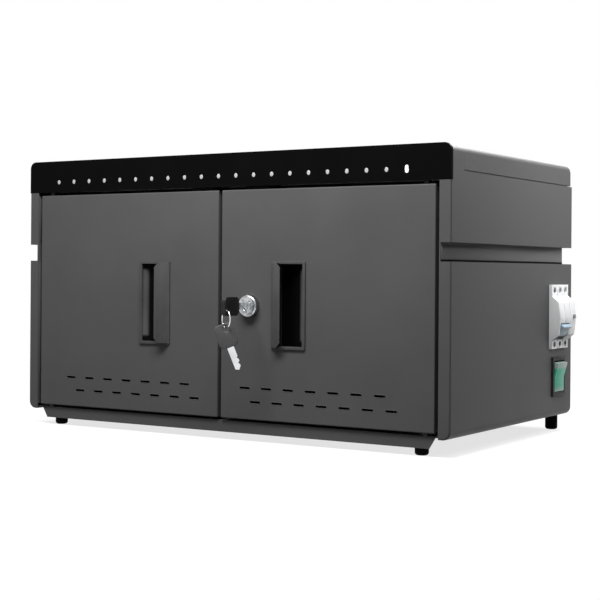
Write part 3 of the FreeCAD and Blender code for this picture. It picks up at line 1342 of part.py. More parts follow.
def breaker():
    """The modular breaker: body through the right side, toggle, test button and the rail behind it."""
    body = new_body()
    low = d.breaker_level
    high = low + d.breaker_height
    shoulder = SIDE + d.breaker_shoulder
    nose = SIDE + d.breaker_nose
    nose_mid = BREAKER_MID - d.nose_drop
    root_low = nose_mid - d.nose_height / 2
    root_high = nose_mid + d.nose_height / 2
    nose_end = nose - d.nose_crown
    far = BREAKER_Y + BREAKER_WIDTH
    pad(body, "xz", BREAKER_Y, far, polygon(
        (RAIL_OUT, low), (shoulder, low), (shoulder, root_low), (nose_end, root_low + d.nose_slope),
        (nose, nose_mid), (nose_end, root_high - d.nose_slope), (shoulder, root_high), (shoulder, high),
        (RAIL_OUT, high),
    ))
    seam = d.module_groove / 2
    seams = [
        rectangle((SIDE + d.sheet, nose + d.sheet), (y - seam, y + seam))
        for y in (BREAKER_Y + d.module_width, BREAKER_Y + d.module_width * 2)
    ]
    pocket(body, "xy", low - d.sheet, high + d.sheet, *seams)
    toggle_x = nose - d.toggle_inset
    toggle_z = BREAKER_MID - d.toggle_drop
    toggle_y = (BREAKER_Y + d.toggle_edge, BREAKER_Y + d.module_width * 2 - d.toggle_edge)
    slot_half = d.toggle_slot / 2
    room = d.toggle_radius + d.toggle_margin
    pocket(body, "xz", *toggle_y, rectangle(
        (toggle_x - room, nose + d.sheet), (toggle_z - slot_half, toggle_z + slot_half)
    ))
    ends = (toggle_y[0] - d.trunnion_length, toggle_y[1] + d.trunnion_length)
    bearing = d.trunnion_radius + d.run_gap
    pocket(body, "xz", *ends, circle(toggle_x, toggle_z, bearing))
    button_y = BREAKER_Y + d.module_width * 2.5
    button_hole = circle(button_y, BREAKER_MID, d.test_button_radius + d.run_gap)
    pocket(body, "yz", nose - d.test_button_depth, nose + d.sheet, button_hole)
    levels = ((low + root_low) / 2, (root_high + high) / 2)
    terminals = [
        circle(BREAKER_Y + d.module_width * (i + 0.5), z, d.terminal_radius)
        for i in range(3) for z in levels
    ]
    pocket(body, "yz", SIDE, shoulder + d.sheet, *terminals)
    keep("breaker_body", body)

    lever = new_body()
    inner = (toggle_y[0] + d.toggle_margin, toggle_y[1] - d.toggle_margin)
    pad(lever, "xz", *inner, circle(0, 0, d.toggle_radius))
    half = d.toggle_thickness / 2
    pad(lever, "xz", *inner, rectangle((0, d.toggle_reach), (-half, half)))
    trunnion = circle(0, 0, d.trunnion_radius)
    pad(lever, "xz", ends[0] + d.toggle_margin, ends[1] - d.toggle_margin, trunnion)
    lever.Placement = FreeCAD.Placement(
        FreeCAD.Vector(), FreeCAD.Rotation(FreeCAD.Vector(0, 1, 0), TOGGLE_REST_DEG)
    )
    keep("breaker_toggle", place(lever, toggle_x, 0, toggle_z))

    back = nose - d.test_button_depth + d.test_button_travel
    front = nose + d.test_button_rise
    keep("breaker_test_button", rod("x", back, front, d.test_button_radius, (button_y, BREAKER_MID)))

    rail = new_body()
    wall = DUCT + d.sheet
    crown = d.rail_height / 2
    root = crown * RAIL_ROOT_SHARE
    lip = RAIL_OUT - d.sheet
    start = BREAKER_Y + (BREAKER_WIDTH - d.rail_length) / 2
    pad(rail, "xz", start, start + d.rail_length, polygon(
        (wall, BREAKER_MID - root), (wall, BREAKER_MID + root),
        (lip, BREAKER_MID + root), (lip, BREAKER_MID + crown),
        (RAIL_OUT, BREAKER_MID + crown), (RAIL_OUT, BREAKER_MID + root - d.sheet),
        (wall + d.sheet, BREAKER_MID + root - d.sheet), (wall + d.sheet, BREAKER_MID - root + d.sheet),
        (RAIL_OUT, BREAKER_MID - root + d.sheet), (RAIL_OUT, BREAKER_MID - crown),
        (lip, BREAKER_MID - crown), (lip, BREAKER_MID - root),
    ))
    keep("breaker_rail", rail)


def switch():
    """The mains rocker switch: bezel and housing in one piece, and the rocker that tilts in it."""
    body = new_body()
    mid = d.switch_level
    half = d.switch_height / 2
    y = (SWITCH_Y, SWITCH_Y + d.switch_width)
    rim = d.switch_rim
    shell_y = (y[0] + rim, y[1] - rim)
    shell_half = half - rim
    pad(body, "yz", SIDE, SIDE + d.switch_bezel, rectangle(y, (mid - half, mid + half)))
    back = SIDE - d.switch_depth
    pad(body, "yz", back, SIDE, rectangle(shell_y, (mid - shell_half, mid + shell_half)))
    wall = d.switch_wall
    room_y = (shell_y[0] + wall, shell_y[1] - wall)
    room_half = shell_half - wall
    room = rectangle(room_y, (mid - room_half, mid + room_half))
    pocket(body, "yz", back + wall, SIDE + d.switch_bezel + d.sheet, room)
    pivot = SIDE - d.rocker_inset
    ends = (room_y[0] - d.trunnion_length, room_y[1] + d.trunnion_length)
    pocket(body, "xz", *ends, circle(pivot, mid, d.trunnion_radius + d.run_gap))
    keep("switch_bezel", body)

    rocker = new_body()
    tall = d.rocker_half
    span = (room_y[0] + d.rocker_gap, room_y[1] - d.rocker_gap)
    pad(rocker, "xz", *span, polygon(
        (d.rocker_rise, tall), (d.rocker_rise - d.rocker_dish, 0), (d.rocker_rise, -tall),
        (0, -tall), (-d.rocker_back, -tall / 2), (-d.rocker_back, tall / 2), (0, tall),
    ))
    trunnion = circle(0, 0, d.trunnion_radius)
    pad(rocker, "xz", ends[0] + d.rocker_gap, ends[1] - d.rocker_gap, trunnion)
    rocker.Placement = FreeCAD.Placement(
        FreeCAD.Vector(), FreeCAD.Rotation(FreeCAD.Vector(0, 1, 0), ROCKER_REST_DEG)
    )
    keep("switch_rocker", place(rocker, pivot, 0, mid))


def inlet():
    """The mains inlet in the rear panel: flange, hollow body and three contact pins."""
    body = new_body()
    x = INLET_X
    z = d.inlet_level
    flange = (d.inlet_width / 2, d.inlet_height / 2)
    shell = (d.inlet_body_width / 2, d.inlet_body_height / 2)
    mouth = REAR + d.inlet_flange
    floor = mouth - d.inlet_depth
    pad(body, "xz", REAR, mouth, rectangle((x - flange[0], x + flange[0]), (z - flange[1], z + flange[1])))
    tunnel = rectangle((x - shell[0], x + shell[0]), (z - shell[1], z + shell[1]))
    pad(body, "xz", floor - d.inlet_wall, REAR, tunnel)
    wide = shell[0] - d.inlet_wall
    tall = shell[1] - d.inlet_wall
    bevel = d.inlet_pin_height
    pocket(body, "xz", floor, mouth + d.sheet, polygon(
        (x - wide, z - tall), (x + wide - bevel, z - tall), (x + wide, z - tall + bevel),
        (x + wide, z + tall - bevel), (x + wide - bevel, z + tall), (x - wide, z + tall),
    ))
    pin = (d.inlet_pin_height / 2, d.inlet_pin_width / 2)
    pins = [
        rectangle((x + shift - pin[0], x + shift + pin[0]), (z + rise - pin[1], z + rise + pin[1]))
        for shift, rise in (
            (0, 0), (-d.inlet_pin_height, d.inlet_pin_pitch), (-d.inlet_pin_height, -d.inlet_pin_pitch)
        )
    ]
    pad(body, "xz", floor - d.inlet_wall / 2, floor + d.inlet_pin_length, *pins)
    keep("power_inlet", body)


def build():
    """Makes every sub-part, checks it and writes it to its file."""
    side_panels()
    base_pan()
    top_cover()
    rear_panel()
    front_header()
    fascia()
    lamps()
    doors()
    door_bolts()
    catches()
    lock()
    keys()
    bays()
    charger()
    feet()
    panel_screws()
    fans()
    breaker()
    switch()
    inlet()
    doc.recompute()
    for thing in doc.Objects:
        if "Invalid" in thing.State or "Error" in thing.State:
            raise RuntimeError(f"{thing.Name} ({thing.Label}) failed: {thing.State}")
    for label, thing in kept.items():
        if thing.Shape.isNull() or not thing.Shape.isValid():
            raise RuntimeError(f"{label} has no valid shape")
    os.makedirs("parts", exist_ok=True)
    for label, thing in kept.items():
        thing.Shape.exportStep(f"parts/{label}.step")
        bounds = thing.Shape.BoundBox
        print(
            f"{label}: {len(thing.Shape.Solids)} solids, x {bounds.XMin:.1f} to {bounds.XMax:.1f}, "
            f"y {bounds.YMin:.1f} to {bounds.YMax:.1f}, z {bounds.ZMin:.1f} to {bounds.ZMax:.1f}"
        )


build()
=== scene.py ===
# %% [markdown]
# # A desktop charging cabinet, finished for its portrait
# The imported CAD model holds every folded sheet, door, bolt and fan of the cabinet in its true place.
# It could all be modelled again in Blender, but then the hinges would no longer match the moving bodies.
# So the CAD model stays as a fixed frame. This lesson gives it paint and plastics, and adds the rounded
# mouldings, lenses, wires and screw heads that a folded-sheet drawing leaves out.

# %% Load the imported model
import json
import math

import bmesh
import bpy
from mathutils import Matrix, Vector


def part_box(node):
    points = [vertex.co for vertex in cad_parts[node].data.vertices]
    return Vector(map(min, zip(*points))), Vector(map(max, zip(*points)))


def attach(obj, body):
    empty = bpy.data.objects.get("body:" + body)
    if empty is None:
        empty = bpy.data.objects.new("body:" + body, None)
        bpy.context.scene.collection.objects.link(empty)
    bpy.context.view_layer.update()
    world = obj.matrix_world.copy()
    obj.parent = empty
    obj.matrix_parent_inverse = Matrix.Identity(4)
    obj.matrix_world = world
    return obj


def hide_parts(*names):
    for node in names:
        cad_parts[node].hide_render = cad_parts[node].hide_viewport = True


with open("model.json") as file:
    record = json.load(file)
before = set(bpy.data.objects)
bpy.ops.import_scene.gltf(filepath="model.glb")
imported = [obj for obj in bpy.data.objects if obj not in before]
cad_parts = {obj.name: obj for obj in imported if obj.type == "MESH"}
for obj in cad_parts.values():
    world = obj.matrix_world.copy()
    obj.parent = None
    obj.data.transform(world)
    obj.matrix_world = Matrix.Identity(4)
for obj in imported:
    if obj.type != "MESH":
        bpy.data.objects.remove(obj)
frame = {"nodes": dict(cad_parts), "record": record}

MM = 0.001
scene = bpy.context.scene
nodes = frame["nodes"]
slot_of = {row["node"]: row["material_slot"] for row in frame["record"]["subparts"]}
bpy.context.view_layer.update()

# %% [markdown]
# ## The camera
# The cabinet is seen from its right, a little above half its height, through a long lens.
# A camera could be aimed by hand, but the edges and lamps fix it far better. The place, turn and lens
# below come from fitting those edges. But for a slight roll the camera looks level, so upright edges stay
# upright, and a small downward shift of the film does the framing.

# %% Set up the camera
def new_object(name, data):
    """An object with this data, linked into the scene."""
    made = bpy.data.objects.new(name, data)
    scene.collection.objects.link(made)
    return made


lens = bpy.data.cameras.new("portrait_camera")
lens.sensor_width = 36
lens.lens = 81.6
lens.shift_y = -0.0471
camera_place = (0.9636, -1.5145, 0.2033)
camera_turn = math.radians(32.394)
camera_roll = math.radians(0.405)
camera = new_object("portrait_camera", lens)
level = Matrix.Rotation(camera_turn, 4, "Z") @ Matrix.Rotation(math.radians(90), 4, "X")
camera.matrix_world = Matrix.Translation(camera_place) @ level @ Matrix.Rotation(camera_roll, 4, "Z")
scene.camera = camera
scene.view_settings.view_transform = "Standard"
print("camera at", camera_place, "lens", lens.lens)

# %% [markdown]
# ## One small function for nodes
# Materials, the world and Geometry Nodes are all trees of nodes. A tree could be laid out by hand in the
# editor, but written out it can be read and run again. One function adds any node and sets its properties.
# Its inputs are filled by another one, which also serves the shader that a new material already has.

# %% Add a node with its settings and links
def colour(text):
    """An sRGB hex value as the linear colour that shaders take."""
    parts = [int(text[i:i + 2], 16) / 255 for i in (1, 3, 5)]
    linear = [v / 12.92 if v <= 0.04045 else ((v + 0.055) / 1.055) ** 2.4 for v in parts]
    return (*linear, 1)


def feed(tree, node, inputs):
    """Fills inputs of a node. A socket, a node or a list of nodes is linked, any other value is set."""
    for name, value in inputs.items():
        for source in value if isinstance(value, list) else [value]:
            if isinstance(source, bpy.types.Node):
                source = source.outputs[0]
            if isinstance(source, bpy.types.NodeSocket):
                tree.links.new(source, node.inputs[name])
            else:
                node.inputs[name].default_value = source


def add(tree, kind, inputs=None, tones=(), **settings):
    """Adds one node with its settings and links. A colour ramp also gets its tones, each with a place."""
    made = tree.nodes.new(kind)
    for name, value in settings.items():
        setattr(made, name, value)
    for i, (place, tone) in enumerate(tones):
        made.color_ramp.elements[i].position = place
        made.color_ramp.elements[i].color = colour(tone)
    feed(tree, made, inputs or {})
    return made


print("a mid grey is", round(colour("#808080")[0], 3), "in linear light")

# %% [markdown]
# ## White studio
# The portrait has a white surround and light that comes from above the front edge, so the doors are paler
# at the top than at the bottom. A white world alone would light the doors evenly. Here the world is white
# only where the lens, a mirror or glass looks at it. The light itself comes from a dim world and from long
# soft strips above the front, the right side, the rear and the left side.

# %% World
def seen_directly(tree, path):
    """Is 1 for a ray from the lens, a mirror or glass, and 0 for any other."""
    seen = add(tree, "ShaderNodeMath", {0: path["Is Camera Ray"], 1: path["Is Glossy Ray"]}, operation="ADD")
    return add(
        tree, "ShaderNodeMath", {0: seen, 1: path["Is Transmission Ray"]}, operation="ADD", use_clamp=True
    )


world = bpy.data.worlds.new("white_studio")
world.use_nodes = True
scene.world = world
tree = world.node_tree
tree.nodes.clear()
seen = seen_directly(tree, add(tree, "ShaderNodeLightPath").outputs)
dim = add(tree, "ShaderNodeBackground", {"Color": colour("#f7f7f7"), "Strength": 0.15})
white = add(tree, "ShaderNodeBackground", {"Color": (1, 1, 1, 1), "Strength": 1})
both = add(tree, "ShaderNodeMixShader", {0: seen, 1: dim, 2: white})
add(tree, "ShaderNodeOutputWorld", {"Surface": both})
print("world nodes:", len(tree.nodes))

# %% Lamps
def strip_light(name, place, target, size, watts):
    """A long soft lamp that shines at a point and isn't seen by the lens itself."""
    lamp = bpy.data.lights.new(name, "AREA")
    lamp.shape = "RECTANGLE"
    lamp.size, lamp.size_y = size
    lamp.energy = watts
    holder = new_object(name, lamp)
    aim = (Vector(target) - Vector(place)).to_track_quat("-Z", "Y")
    holder.matrix_world = Matrix.Translation(place) @ aim.to_matrix().to_4x4()
    holder.visible_camera = False


strip_light("front_strip", (0.12, -0.58, 0.88), (0.0, -0.17, 0.26), (0.8, 0.25), 16.0)
strip_light("side_strip", (0.41, 0.08, 0.57), (0.31, 0.02, 0.25), (0.2, 1.0), 5.9)
strip_light("rear_strip", (0.0, 0.75, 0.95), (0.0, 0.15, 0.2), (1.2, 0.4), 11)
strip_light("left_strip", (-0.75, 0.05, 0.95), (-0.31, 0.0, 0.2), (0.4, 1.0), 10)

# %% [markdown]
# ## The floor
# The cabinet stands on a pale table. A plain white plane would turn grey far away from the lamps. This one
# shades as matt white card near the cabinet, where the feet throw their shadow, and fades into the white of
# the surround further out. Only a tenth of its light is thrown back onto the cabinet, as from a table in a
# dark room, so that the doors stay darker towards the floor. To the right of the cabinet it throws back
# nearly nothing. In a studio a black card would do that, laid where the lens can't see it.

# %% Floor
floor_half = 20
corners = [(x * floor_half, y * floor_half, 0) for x, y in ((-1, -1), (1, -1), (1, 1), (-1, 1))]
sheet = bpy.data.meshes.new("pale_table")
sheet.from_pydata(corners, [], [(0, 1, 2, 3)])
floor = new_object("pale_table", sheet)
card = bpy.data.materials.new("matt_white_card")
card.use_nodes = True
tree = card.node_tree
tree.nodes.clear()
path = add(tree, "ShaderNodeLightPath").outputs
where = add(tree, "ShaderNodeTexCoord").outputs["Object"]
fade_start, fade_end = 0.35, 1.1
card_start, card_end = 0.29, 0.34
away = add(tree, "ShaderNodeVectorMath", {0: where}, operation="LENGTH").outputs["Value"]
fade = add(tree, "ShaderNodeMapRange", {"Value": away, 1: fade_start, 2: fade_end, 3: 0.75, 4: 1.0})
share = add(tree, "ShaderNodeMath", {0: seen_directly(tree, path), 1: fade}, operation="MULTIPLY")
to_right = add(tree, "ShaderNodeSeparateXYZ", {0: where}).outputs["X"]
black_card = add(tree, "ShaderNodeMapRange", {"Value": to_right, 1: card_start, 2: card_end})
bounced = add(tree, "ShaderNodeMix", {
    0: black_card, 6: colour("#626262"), 7: colour("#1c1c1c")
}, data_type="RGBA").outputs[2]
thrown = add(tree, "ShaderNodeMix", {
    0: path["Is Diffuse Ray"], 6: colour("#efefef"), 7: bounced
}, data_type="RGBA").outputs[2]
matt = add(tree, "ShaderNodeBsdfDiffuse", {"Color": thrown})
glow = add(tree, "ShaderNodeEmission", {"Color": (1, 1, 1, 1), "Strength": 1})
both = add(tree, "ShaderNodeMixShader", {0: share, 1: matt, 2: glow})
add(tree, "ShaderNodeOutputMaterial", {"Surface": both})
sheet.materials.append(card)
print("floor of", 2 * floor_half, "m")

# %% [markdown]
# ## Powder coat
# The body and the doors are steel sheet under a graphite powder coat. Powder melts into a skin that is
# never quite flat: it has a fine orange peel, and its gloss drifts a little from place to place. A flat
# grey would look like card. Two noises give the drift and the peel, at sizes in millimetres, and a third
# one a fine grain of colour. The real peel is about one millimetre across, and it is drawn twice as coarse
# so that it shows at this distance.

# %% Graphite powder coat
finishes = {}


def start_finish(name, values):
    """A new material with plain values on its shader, its tree, its shader and its object coordinates."""
    made = bpy.data.materials.new(name)
    made.use_nodes = True
    tree = made.node_tree
    shader = tree.nodes["Principled BSDF"]
    feed(tree, shader, values)
    return made, tree, shader, add(tree, "ShaderNodeTexCoord").outputs["Object"]


def per_mm(size):
    """The texture scale whose features are this many millimetres across."""
    return 1 / (size * MM)


def powder_coat(name, dark, light):
    """Powder-coated steel between two tones."""
    values = {"Roughness": 0.44, "IOR": 1.5, "Specular IOR Level": 0.1}
    coat, tree, shader, where = start_finish(name, values)
    drift = add(tree, "ShaderNodeTexNoise", {"Vector": where, "Scale": per_mm(70), "Detail": 3.0})
    grain = add(tree, "ShaderNodeTexNoise", {"Vector": where, "Scale": per_mm(1.1), "Detail": 1.0})
    peel = add(tree, "ShaderNodeTexNoise", {"Vector": where, "Scale": per_mm(2.2), "Detail": 2.0})
    mixed = add(tree, "ShaderNodeMath", {0: drift, 1: grain}, operation="ADD")
    tint = add(tree, "ShaderNodeMapRange", {"Value": mixed, 1: 0.6, 2: 1.4})
    tone = add(tree, "ShaderNodeValToRGB", {"Fac": tint}, ((0.0, dark), (1.0, light)))
    gloss = add(tree, "ShaderNodeMapRange", {"Value": drift, 1: 0.3, 2: 0.7, 3: 0.4, 4: 0.5})
    skin = add(tree, "ShaderNodeBump", {"Height": peel, "Strength": 0.12, "Distance": 0.3 * MM})
    feed(tree, shader, {"Base Color": tone, "Roughness": gloss, "Normal": skin})
    return coat


# To the eye: dark neutral grey, satin, with a soft broken sheen under the lamps.
finishes["graphite_paint"] = powder_coat("powder_coated_steel_graphite", "#474747", "#4f4f4f")
print(finishes["graphite_paint"].name, "has", len(finishes["graphite_paint"].node_tree.nodes), "nodes")

# %% [markdown]
# ## Bare metals
# Inside, the charger deck and the wiring duct are galvanised sheet, whose zinc freezes in flat crystals.
# Screws and bolts are zinc plated, the lock and keys are chromed, the hinge pins are blackened, and the
# supplies have satin aluminium cases. A metal shows almost only reflections, so each one gets its own
# pattern of roughness: crystals, cloudy plating, wiped smears, or fine lines along the sheet.

# %% Galvanised sheet
# To the eye: pale blue-grey crystals about a centimetre wide, each with its own shine.
zinc, tree, shader, where = start_finish("galvanised_sheet_spangled", {"Metallic": 1.0})
crystals = add(tree, "ShaderNodeTexVoronoi", {"Vector": where, "Scale": per_mm(11)})
shade = add(tree, "ShaderNodeSeparateColor", {"Color": crystals.outputs["Color"]}).outputs
tone = add(tree, "ShaderNodeValToRGB", {"Fac": shade[0]}, ((0.0, "#a6abaf"), (1.0, "#c6cacc")))
gloss = add(tree, "ShaderNodeMapRange", {"Value": shade[1], 3: 0.3, 4: 0.52})
feed(tree, shader, {"Base Color": tone, "Roughness": gloss})
finishes["galvanised_sheet"] = zinc
print(zinc.name, "has", len(tree.nodes), "nodes")

# %% Zinc plating, chrome and black oxide
# To the eye: plating is bright but slightly milky, chrome is a clean mirror with faint wipe marks,
# and blackened steel is nearly black, with a thin film of oil.
metals = (
    # slot, name, dark, light, clouds in mm, roughness low and high
    ("plain_steel", "zinc_plated_steel", "#b4b7ba", "#cfd2d4", 6, 0.24, 0.38),
    ("lock_chrome", "chromed_zinc_casting", "#d4d6d8", "#e6e8ea", 9, 0.07, 0.16),
    ("black_steel", "blackened_steel", "#1d1d1e", "#2a2a2b", 4, 0.3, 0.44),
)
for slot, name, dark, light, size, smooth, rough in metals:
    metal, tree, shader, where = start_finish(name, {"Metallic": 1.0})
    cloud = add(tree, "ShaderNodeTexNoise", {"Vector": where, "Scale": per_mm(size), "Detail": 4.0})
    tone = add(tree, "ShaderNodeValToRGB", {"Fac": cloud}, ((0.3, dark), (0.7, light)))
    gloss = add(tree, "ShaderNodeMapRange", {"Value": cloud, 1: 0.3, 2: 0.7, 3: smooth, 4: rough})
    feed(tree, shader, {"Base Color": tone, "Roughness": gloss})
    finishes[slot] = metal
print("metals:", [finishes[row[0]].name for row in metals])

# %% Satin aluminium
# To the eye: soft pale metal with fine lines along the case, as it left the rolling mill.
alloy, tree, shader, where = start_finish("aluminium_sheet_satin", {"Metallic": 1.0})
along = add(tree, "ShaderNodeMapping", {"Vector": where, "Scale": (0.03, 1.0, 1.0)})
lines = add(tree, "ShaderNodeTexNoise", {"Vector": along, "Scale": per_mm(0.8), "Detail": 3.0})
tone = add(tree, "ShaderNodeValToRGB", {"Fac": lines}, ((0.0, "#b8babc"), (1.0, "#d6d8da")))
gloss = add(tree, "ShaderNodeMapRange", {"Value": lines, 3: 0.28, 4: 0.45})
skin = add(tree, "ShaderNodeBump", {"Height": lines, "Strength": 0.1, "Distance": 0.2 * MM})
feed(tree, shader, {"Base Color": tone, "Roughness": gloss, "Normal": skin})
finishes["supply_aluminium"] = alloy
print("finishes so far:", len(finishes))

# %% [markdown]
# ## Plastics, rubber and foam
# The other pieces are moulded. A mould that was etched leaves a fine leather-like grain, a polished one
# leaves gloss, and rubber and foam come out dull. They differ in colour, gloss and the size of their
# grain, so one loop makes them from a list in plain words. Each gets a drift of colour and roughness, and
# a bump of its own grain.

# %% Moulded finishes
# To the eye: black plastic and rubber swallow light, the breaker's housing is a clean satin white,
# its lever a cool blue, the dividers a pale grey with a faint grain, the spare key's black bow painted as
# grey as the doors as a painted reflection, the floor mat a dull dark foam.
moulded = (
    # slot, name, dark, light, roughness low and high, specular level, grain in mm, bump
    ("moulded_black", "etched_black_abs", "#0d0d0e", "#141415", 0.5, 0.62, 0.25, 0.7, 0.25),
    ("rubber_black", "moulded_black_rubber", "#070707", "#0c0c0c", 0.75, 0.9, 0.05, 1.2, 0.35),
    ("breaker_white", "satin_white_polyamide", "#dadbdc", "#e4e5e6", 0.32, 0.42, 0.4, 0.8, 0.08),
    ("breaker_blue", "satin_blue_polyamide", "#7f95a6", "#94a8b7", 0.3, 0.4, 0.4, 0.8, 0.08),
    ("divider_grey", "grained_grey_polypropylene", "#747577", "#818284", 0.45, 0.6, 0.4, 1.0, 0.2),
    # The spare key's bow is black plastic painted grey: a painted reflection.
    ("bow_grey", "black_polyamide_painted_reflection_grey", "#434343", "#4c4c4c", 0.4, 0.5, 0.25, 0.8, 0.1),
    ("foam_grey", "closed_cell_foam", "#37373a", "#454548", 0.85, 0.95, 0.2, 1.6, 0.6),
)
for slot, name, dark, light, smooth, rough, level, size, depth in moulded:
    plastic, tree, shader, where = start_finish(name, {"Specular IOR Level": level})
    drift = add(tree, "ShaderNodeTexNoise", {"Vector": where, "Scale": per_mm(25), "Detail": 3.0})
    grain = add(tree, "ShaderNodeTexVoronoi", {"Vector": where, "Scale": per_mm(size)})
    tone = add(tree, "ShaderNodeValToRGB", {"Fac": drift}, ((0.3, dark), (0.7, light)))
    gloss = add(tree, "ShaderNodeMapRange", {"Value": drift, 1: 0.3, 2: 0.7, 3: smooth, 4: rough})
    skin = add(tree, "ShaderNodeBump", {"Height": grain, "Strength": depth, "Distance": 0.2 * MM})
    feed(tree, shader, {"Base Color": tone, "Roughness": gloss, "Normal": skin})
    finishes[slot] = plastic
print("moulded finishes:", [row[1] for row in moulded])

# %% [markdown]
# ## Fascia, lenses and the lit rocker
# The strip above the doors is polished black acrylic. In the portrait it stays nearly black, so its
# specular level is set far below that of a bright studio gloss. Its lamps are frosted lenses with a light
# behind them, and the rocker is green polycarbonate with a small lamp inside. Light behind frosted plastic
# could be traced for real, but a surface that glows a little looks the same from outside and renders clean.

# %% Black acrylic
# To the eye: deep black glass-like gloss with a faint haze of handling.
values = {"IOR": 1.49, "Specular IOR Level": 0.015}
acrylic, tree, shader, where = start_finish("polished_black_acrylic", values)
haze = add(tree, "ShaderNodeTexNoise", {"Vector": where, "Scale": per_mm(45), "Detail": 4.0})
tone = add(tree, "ShaderNodeValToRGB", {"Fac": haze}, ((0.0, "#060606"), (1.0, "#0b0b0c")))
gloss = add(tree, "ShaderNodeMapRange", {"Value": haze, 1: 0.35, 2: 0.7, 3: 0.05, 4: 0.14})
feed(tree, shader, {"Base Color": tone, "Roughness": gloss})
finishes["fascia_black"] = acrylic
print(acrylic.name, "has", len(tree.nodes), "nodes")

# %% Lit plastics
# To the eye: the bay lenses are dull white points with a frosted skin, the power lamp shines clear white,
# and the rocker is a soft sea green with pale ends, partly a painted highlight.
lit = (
    # slot, name, dark, light, glow, strength of the glow, frost in mm
    ("lamp_white", "frosted_polycarbonate", "#8c8c8c", "#a4a4a4", "#ffffff", 0.1, 1.5),
    ("power_lamp", "frosted_lit_polycarbonate", "#ececec", "#ffffff", "#ffffff", 0.8, 1.5),
    ("rocker_green", "lit_green_polycarbonate", "#1e9876", "#2eac8c", "#2fae83", 0.05, 3.0),
)
lit_trees = {}
for slot, name, dark, light, glow, strength, size in lit:
    frosted, tree, shader, where = start_finish(name, {
        "Roughness": 0.3, "Specular IOR Level": 0.2, "Emission Color": colour(glow),
        "Emission Strength": strength,
    })
    frost = add(tree, "ShaderNodeTexNoise", {"Vector": where, "Scale": per_mm(size), "Detail": 3.0})
    tone = add(tree, "ShaderNodeValToRGB", {"Fac": frost}, ((0.3, dark), (0.7, light)))
    skin = add(tree, "ShaderNodeBump", {"Height": frost, "Strength": 0.1, "Distance": 0.2 * MM})
    feed(tree, shader, {"Base Color": tone, "Normal": skin})
    finishes[slot] = frosted
    lit_trees[slot] = (tree, shader, where, tone)
print("lit finishes:", [row[1] for row in lit])

# %% Core of the power lamp
# The light stands behind the middle of the lens as a short upright line. Further out the lens stays dark.
tree, shader, where, tone = lit_trees["power_lamp"]
low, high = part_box("power_lamp")
line_half = 2.3 * MM
core_radius, dark_radius = 1.6 * MM, 2.3 * MM
centred = add(tree, "ShaderNodeVectorMath", {0: where, 1: (low + high) / 2}, operation="SUBTRACT")
sideways, _, upwards = add(tree, "ShaderNodeSeparateXYZ", {0: centred}).outputs
from_middle = add(tree, "ShaderNodeMath", {0: upwards}, operation="ABSOLUTE")
beyond = add(tree, "ShaderNodeMath", {0: from_middle, 1: line_half}, operation="SUBTRACT")
past_end = add(tree, "ShaderNodeMath", {0: beyond, 1: 0.0}, operation="MAXIMUM")
offset = add(tree, "ShaderNodeCombineXYZ", {0: sideways, 2: past_end})
from_line = add(tree, "ShaderNodeVectorMath", {0: offset}, operation="LENGTH").outputs["Value"]
core = add(tree, "ShaderNodeMapRange", {
    "Value": from_line, 1: core_radius, 2: dark_radius, 3: 1.0, 4: 0.0
})
rim = add(tree, "ShaderNodeMix", {0: core, 6: colour("#1c1d1e"), 7: tone}, data_type="RGBA").outputs[2]
full = shader.inputs["Emission Strength"].default_value
shine = add(tree, "ShaderNodeMath", {0: core, 1: full}, operation="MULTIPLY")
feed(tree, shader, {"Base Color": rim, "Emission Strength": shine})
print("the power lamp is", round((high.z - low.z) / MM, 1), "mm tall")

# %% Pale ends of the rocker, partly painted highlight
# The small lamp sits behind the middle. Above and below it the colour is painted pale: partly the clear
# plastic over the green, partly a painted highlight where the curved ends catch the light, stronger at the
# top.
tree, shader, where, tone = lit_trees["rocker_green"]
low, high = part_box("switch_rocker")
height = add(tree, "ShaderNodeSeparateXYZ", {0: where}).outputs["Z"]
upper = add(tree, "ShaderNodeMapRange", {
    "Value": height, 1: high.z - 10 * MM, 2: high.z - 6 * MM, 3: 0.0, 4: 0.85
})
lower = add(tree, "ShaderNodeMapRange", {
    "Value": height, 1: low.z + 7 * MM, 2: low.z + 2 * MM, 3: 0.0, 4: 0.6
})
# Painted highlight, together with the pale cover: the rocker's ends are mixed towards a pale grey.
ends = add(tree, "ShaderNodeMath", {0: upper, 1: lower}, operation="MAXIMUM")
pale_ends_painted_highlight = add(tree, "ShaderNodeMix", {0: ends, 6: tone, 7: colour("#a2a7a9")}, data_type="RGBA").outputs[2]
feed(tree, shader, {"Base Color": pale_ends_painted_highlight})
print("the rocker is", round((high.z - low.z) / MM, 1), "mm tall")

# %% [markdown]
# ## Circuit boards
# The lamp board and the charger board are glass fibre under green solder resist. A drawing of a real
# circuit would be wasted behind the fascia. A brick pattern gives straight tracks of a believable width
# instead, slightly paler than the resist around them.

# %% Solder resist over copper tracks
# To the eye: dark green gloss with paler straight tracks.
stand_up = (math.radians(90), 0, 0)
board, tree, shader, where = start_finish("glass_fibre_board_green_resist", {"Roughness": 0.35})
flat = add(tree, "ShaderNodeMapping", {"Vector": where, "Rotation": stand_up})
tracks = add(tree, "ShaderNodeTexBrick", {
    "Vector": flat, "Scale": 1.0, "Color1": colour("#1d5a39"), "Color2": colour("#174d30"),
    "Mortar": colour("#2f7a4e"), "Mortar Size": 0.4 * MM, "Brick Width": 11 * MM, "Row Height": 2.8 * MM,
}).outputs
skin = add(tree, "ShaderNodeBump", {"Height": tracks["Fac"], "Strength": 0.2, "Distance": 0.1 * MM})
feed(tree, shader, {"Base Color": tracks["Color"], "Normal": skin})
finishes["board_green"] = board
print(board.name, "has", len(tree.nodes), "nodes")

# %% Give every CAD node its finish
for node, slot in slot_of.items():
    for holder in nodes[node].material_slots:
        holder.material = finishes[slot]
print("finished", len(slot_of), "nodes with", len(finishes), "materials")

